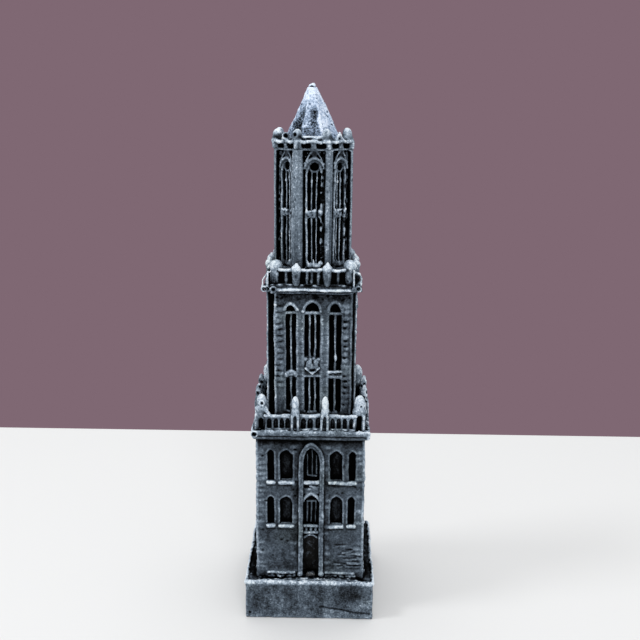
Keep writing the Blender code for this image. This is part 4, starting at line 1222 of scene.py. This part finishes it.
def sculpt():
    """Draws off every piece and stores how proud, hollow, deep and toned each point is."""
    solid, first = share_of_solid()
    fine, middle, broad = [blurred(solid, radius) for radius in (0.3, 1.0, 2.4)]
    full = 0.22                             # change of share at which proud and nook are full
    ahead = 1.3                             # how far in front of the surface deep is felt
    pieces = {}
    for node, clay in BODIES:
        cells, faces = skin(clay.field)
        obj = bpy.data.objects.new("cast_" + node, mesh_of(node, (cells + clay.first) * GRAIN, faces))
        bpy.context.collection.objects.link(obj)
        mesh = thinned(obj)
        count = len(mesh.vertices)
        spots = read_back(mesh.vertices, "co", count) / MM
        normals = read_back(mesh.vertex_normals, "vector", count)
        at = spots / GRAIN - first
        measures = {
            "proud": np.clip((0.5 - sampled(fine, at)) / full, -1, 1),
            "nook": np.clip((sampled(middle, at) - 0.5) / full, -1, 1),
            "deep": np.clip(sampled(broad, at + normals * ahead / GRAIN) / 0.5, 0, 1),
            "tone": sampled(clay.tone, spots / GRAIN - clay.first),
        }
        for name, value in measures.items():
            stored = mesh.attributes.new(name, "FLOAT", "POINT")
            stored.data.foreach_set("value", value.astype(np.float32))
        rough = 0.07 * noise(spots, 0.8, 31) + 0.08 * noise(spots, 1.6, 32)
        moved = wobble(spots) + normals * rough[:, None]
        moved[:, 2] = np.maximum(moved[:, 2], 0)
        mesh.vertices.foreach_set("co", (moved * MM).astype(np.float32).ravel())
        mesh.shade_smooth()
        mesh.update()
        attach(obj, "root")
        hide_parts(node)
        pieces[node] = obj
    return pieces


# ---------------- paint
class Paint:
    """Small helper that wires a node material."""

    def __init__(self, name):
        self.material = bpy.data.materials.new(name)
        self.material.use_nodes = True
        self.nodes = self.material.node_tree.nodes
        self.links = self.material.node_tree.links
        self.shader = self.nodes["Principled BSDF"]
        self.spot = self.nodes.new("ShaderNodeTexCoord").outputs["Object"]

    def attribute(self, name):
        node = self.nodes.new("ShaderNodeAttribute")
        node.attribute_name = name
        return node.outputs["Fac"]

    def math(self, operation, *values, clamp=False):
        node = self.nodes.new("ShaderNodeMath")
        node.operation = operation
        node.use_clamp = clamp
        for socket, value in zip(node.inputs, values):
            if isinstance(value, (int, float)):
                socket.default_value = value
            else:
                self.links.new(value, socket)
        return node.outputs[0]

    def noise(self, size, detail=3.0, rough=0.6, stretch=None):
        """Noise of a size in millimetres, spread over about -1..1."""
        spot = self.spot
        if stretch:
            move = self.nodes.new("ShaderNodeMapping")
            move.inputs["Scale"].default_value = stretch
            move.inputs["Rotation"].default_value = (0.7, 0.7, 0)
            self.links.new(spot, move.inputs["Vector"])
            spot = move.outputs[0]
        node = self.nodes.new("ShaderNodeTexNoise")
        node.inputs["Scale"].default_value = 1 / (size * MM)
        node.inputs["Detail"].default_value = detail
        node.inputs["Roughness"].default_value = rough
        self.links.new(spot, node.inputs["Vector"])
        return self.math("MULTIPLY_ADD", node.outputs["Fac"], 4.0, -2.0)

    def ramp(self, value, stops):
        node = self.nodes.new("ShaderNodeValToRGB")
        self.links.new(value, node.inputs["Fac"])
        ramp = node.color_ramp
        while len(ramp.elements) < len(stops):
            ramp.elements.new(0.5)
        for element, (at, colour) in zip(ramp.elements, stops):
            element.position = at
            element.color = (*colour, 1)
        return node.outputs["Color"]


def linear(*colour):
    """Light of an sRGB colour given in 0..255."""
    shares = [c / 255 for c in colour]
    return tuple(c / 12.92 if c <= 0.04045 else ((c + 0.055) / 1.055) ** 2.4 for c in shares)


def coat_colours(*colours):
    """Stops of a ramp from black in the hollows to chalk on the edges."""
    places = (0.0, 0.14, 0.32, 0.5, 0.68, 0.84, 1.0)
    return [(at, linear(*colour)) for at, colour in zip(places, colours)]


ROOF = coat_colours((2, 2, 3), (12, 14, 17), (42, 49, 58), (84, 96, 112), (128, 146, 170), (179, 197, 222),
                    (223, 234, 250))
SLATE = coat_colours((0, 0, 0), (8, 9, 11), (40, 45, 51), (73, 83, 94), (112, 125, 138), (166, 181, 197),
                     (223, 233, 242))
YELLOWED = (1.0, 1.0, 0.86, 1)


def dry_brushed(name, base, tone=0.36, proud=0.22, nook=0.3, deep=0.3, top_light_and_brush=0.05, mottle=0.16, speckle=0.13,
                roughness=0.6, bump=0.8, specular=0.02, streak=False, patchy=0.0, warm=-0.1, stops=SLATE):
    """Slate paint: black in the hollows, brushed with pale blue-grey where the surface stands proud."""
    paint = Paint(name)
    m = paint.math
    broad = paint.noise(5.0, 7, 0.72, (1.0, 1.0, 0.4) if streak else None)
    mid = paint.noise(1.5, 4, 0.7)
    grit, flecks = paint.noise(0.5, 2, 0.6), paint.noise(0.62, 1, 0.5)
    value = m("MULTIPLY_ADD", paint.attribute("tone"), tone, base)
    near_edge = paint.attribute("proud")
    high = m("MAXIMUM", near_edge, 0.0)
    worn = m("MULTIPLY", high, m("MULTIPLY_ADD", mid, 0.5, 0.9))
    value = m("MULTIPLY_ADD", worn, proud, value)
    value = m("MULTIPLY_ADD", m("MINIMUM", near_edge, 0.0), 0.3, value)
    value = m("MULTIPLY_ADD", m("MAXIMUM", paint.attribute("nook"), 0.0), -nook, value)
    value = m("MULTIPLY_ADD", m("SUBTRACT", paint.attribute("deep"), 0.35), -deep, value)
    # faces that point up are lighter and those that point down darker: partly painted light from above,
    # partly dry-brush that lands on the tops
    normal = paint.nodes.new("ShaderNodeSeparateXYZ")
    paint.links.new(paint.nodes.new("ShaderNodeNewGeometry").outputs["Normal"], normal.inputs[0])
    value = m("MULTIPLY_ADD", normal.outputs["Z"], top_light_and_brush, value)
    value = m("MULTIPLY_ADD", broad, mottle, value)
    value = m("MULTIPLY_ADD", mid, mottle * 0.7, value)
    if patchy:
        stained = m("MINIMUM", paint.attribute("tone"), 0.0)
        grit = m("MULTIPLY", grit, m("MULTIPLY_ADD", stained, -patchy, 1.0))
    value = m("MULTIPLY_ADD", grit, speckle, value)
    chalky = m("MAXIMUM", paint.attribute("tone"), 0.0)
    fleck = m("MAXIMUM", m("SUBTRACT", flecks, 0.5), 0.0)
    bright = m("MULTIPLY", fleck, m("MULTIPLY_ADD", chalky, 0.8, 0.12))
    value = m("ADD", value, bright, clamp=True)
    tint = paint.nodes.new("ShaderNodeMixRGB")
    tint.blend_type = "MULTIPLY"
    paint.links.new(m("MULTIPLY_ADD", paint.noise(14.0, 3, 0.5), 0.8, warm, clamp=True), tint.inputs["Fac"])
    paint.links.new(paint.ramp(value, stops), tint.inputs["Color1"])
    tint.inputs["Color2"].default_value = YELLOWED
    paint.links.new(tint.outputs["Color"], paint.shader.inputs["Base Color"])
    paint.links.new(m("MULTIPLY_ADD", grit, 0.08, roughness), paint.shader.inputs["Roughness"])
    paint.shader.inputs["Specular IOR Level"].default_value = specular
    relief = paint.nodes.new("ShaderNodeBump")
    relief.inputs["Strength"].default_value = bump
    relief.inputs["Distance"].default_value = 0.15 * MM
    height = m("ADD", m("MULTIPLY", mid, 0.6), m("MULTIPLY", grit, 0.5))
    paint.links.new(height, relief.inputs["Height"])
    paint.links.new(relief.outputs["Normal"], paint.shader.inputs["Normal"])
    return paint.material


def paint_all(pieces):
    coats = {
        "wall": dry_brushed("slate_wall", 0.5, mottle=0.17, speckle=0.11, streak=True),
        "plinth": dry_brushed("slate_plinth", 0.505, mottle=0.22, speckle=0.16, streak=True, warm=-0.4),
        "stage": dry_brushed("stage_stone", 0.485, mottle=0.16, speckle=0.13, streak=True),
        "pale": dry_brushed("pale_trim", 0.48, nook=0.42, deep=0.38, mottle=0.2),
        "lantern": dry_brushed("lantern_stone", 0.49, nook=0.4, deep=0.34, mottle=0.09),
        "roof": dry_brushed("roof_stone", 0.87, proud=0.06, mottle=0.18, speckle=0.2, patchy=1.2, warm=-1.0,
                            stops=ROOF),
        "door": dry_brushed("door_black", 0.51, mottle=0.5, speckle=0.24, roughness=0.4, specular=0.1),
        "step": dry_brushed("step_black", 0.3, roughness=0.22, specular=0.6),
    }
    choice = {"plinth": "plinth", "lower_tower": "wall", "middle_tower": "stage", "portal_tracery": "wall",
              "lantern": "lantern", "spire": "roof", "finial": "roof", "door_leaf": "door",
              "door_step": "step"}
    for node, obj in pieces.items():
        obj.data.materials.clear()
        obj.data.materials.append(coats[choice.get(node, "pale")])


# ---------------- studio, in metres and watts
BACKDROP = linear(127, 104, 115)
LIGHTS = (                                  # name, place, aim, size, power
    ("key", (-0.80, -0.22, 1.10), (0, 0, 0.07), 0.30, 3.8),
    ("front", (0.15, -1.20, 0.80), (0, 0, 0.08), 0.8, 7.8),
    ("top", (0.0, 0.1, 1.2), (0, 0, 0.1), 0.8, 5.0),
)
CAMERA_PLACE = (0.005568, -0.241788, 0.154161)
CAMERA_YAW, CAMERA_PITCH, CAMERA_ROLL = math.radians(0.787), math.radians(14.719), math.radians(0.556)
LENS = 46.07                                # on a sensor 36 mm wide


def area_light(name, place, aim, size, power):
    data = bpy.data.lights.new(name, "AREA")
    data.shape = "DISK"
    data.size = size
    data.energy = power
    obj = bpy.data.objects.new(name, data)
    obj.location = place
    obj.rotation_euler = (Vector(aim) - Vector(place)).to_track_quat("-Z", "Y").to_euler()
    bpy.context.collection.objects.link(obj)


def make_floor():
    low, high = CAD_BOX
    reach = (high[0] - low[0]) * 20
    back = 0.130
    corners = ((-reach, -reach), (reach, -reach), (reach, back), (-reach, back))
    mesh = bpy.data.meshes.new("floor")
    mesh.from_pydata([(x, y, 0) for x, y in corners], [], [(0, 1, 2, 3)])
    floor = bpy.data.objects.new("floor", mesh)
    bpy.context.collection.objects.link(floor)
    paint = Paint("floor")
    value = paint.math("MULTIPLY_ADD", paint.noise(60, 3), 0.004, 0.5)
    colour = paint.ramp(value, ((0, (0.74, 0.745, 0.75)), (1, (0.80, 0.805, 0.81))))
    paint.links.new(colour, paint.shader.inputs["Base Color"])
    paint.shader.inputs["Roughness"].default_value = 0.6
    paint.shader.inputs["Specular IOR Level"].default_value = 0.2
    mesh.materials.append(paint.material)


def make_world():
    """Even white light, with a mauve backdrop where the camera sees it."""
    world = bpy.data.worlds.new("studio")
    bpy.context.scene.world = world
    world.use_nodes = True
    nodes, links = world.node_tree.nodes, world.node_tree.links
    soft = nodes["Background"]
    soft.inputs["Color"].default_value = (1, 1, 1, 1)
    soft.inputs["Strength"].default_value = 0.52
    seen = nodes.new("ShaderNodeBackground")
    seen.inputs["Color"].default_value = (*BACKDROP, 1)
    mix = nodes.new("ShaderNodeMixShader")
    links.new(nodes.new("ShaderNodeLightPath").outputs["Is Camera Ray"], mix.inputs[0])
    links.new(soft.outputs[0], mix.inputs[1])
    links.new(seen.outputs[0], mix.inputs[2])
    links.new(mix.outputs[0], nodes["World Output"].inputs[0])


def make_camera():
    data = bpy.data.cameras.new("camera")
    data.sensor_width = 36
    data.lens = LENS
    data.clip_start = 0.01
    camera = bpy.data.objects.new("camera", data)
    bpy.context.collection.objects.link(camera)
    turned = Matrix.Translation(CAMERA_PLACE) @ Matrix.Rotation(CAMERA_YAW, 4, "Z")
    tilted = turned @ Matrix.Rotation(math.pi / 2 - CAMERA_PITCH, 4, "X")
    camera.matrix_world = tilted @ Matrix.Rotation(CAMERA_ROLL, 4, "Z")
    bpy.context.scene.camera = camera


make_camera()
for make in (make_plinth, make_lower_tower, make_portal_frames, make_doorway, make_lower_cornice,
             make_lower_gallery, make_middle_tower, make_shield, make_upper_cornice, make_upper_gallery,
             make_lantern, make_crown, make_spire, make_finial):
    make()
paint_all(sculpt())
make_floor()
for light in LIGHTS:
    area_light(*light)
make_world()
bpy.context.scene.view_settings.view_transform = "Standard"
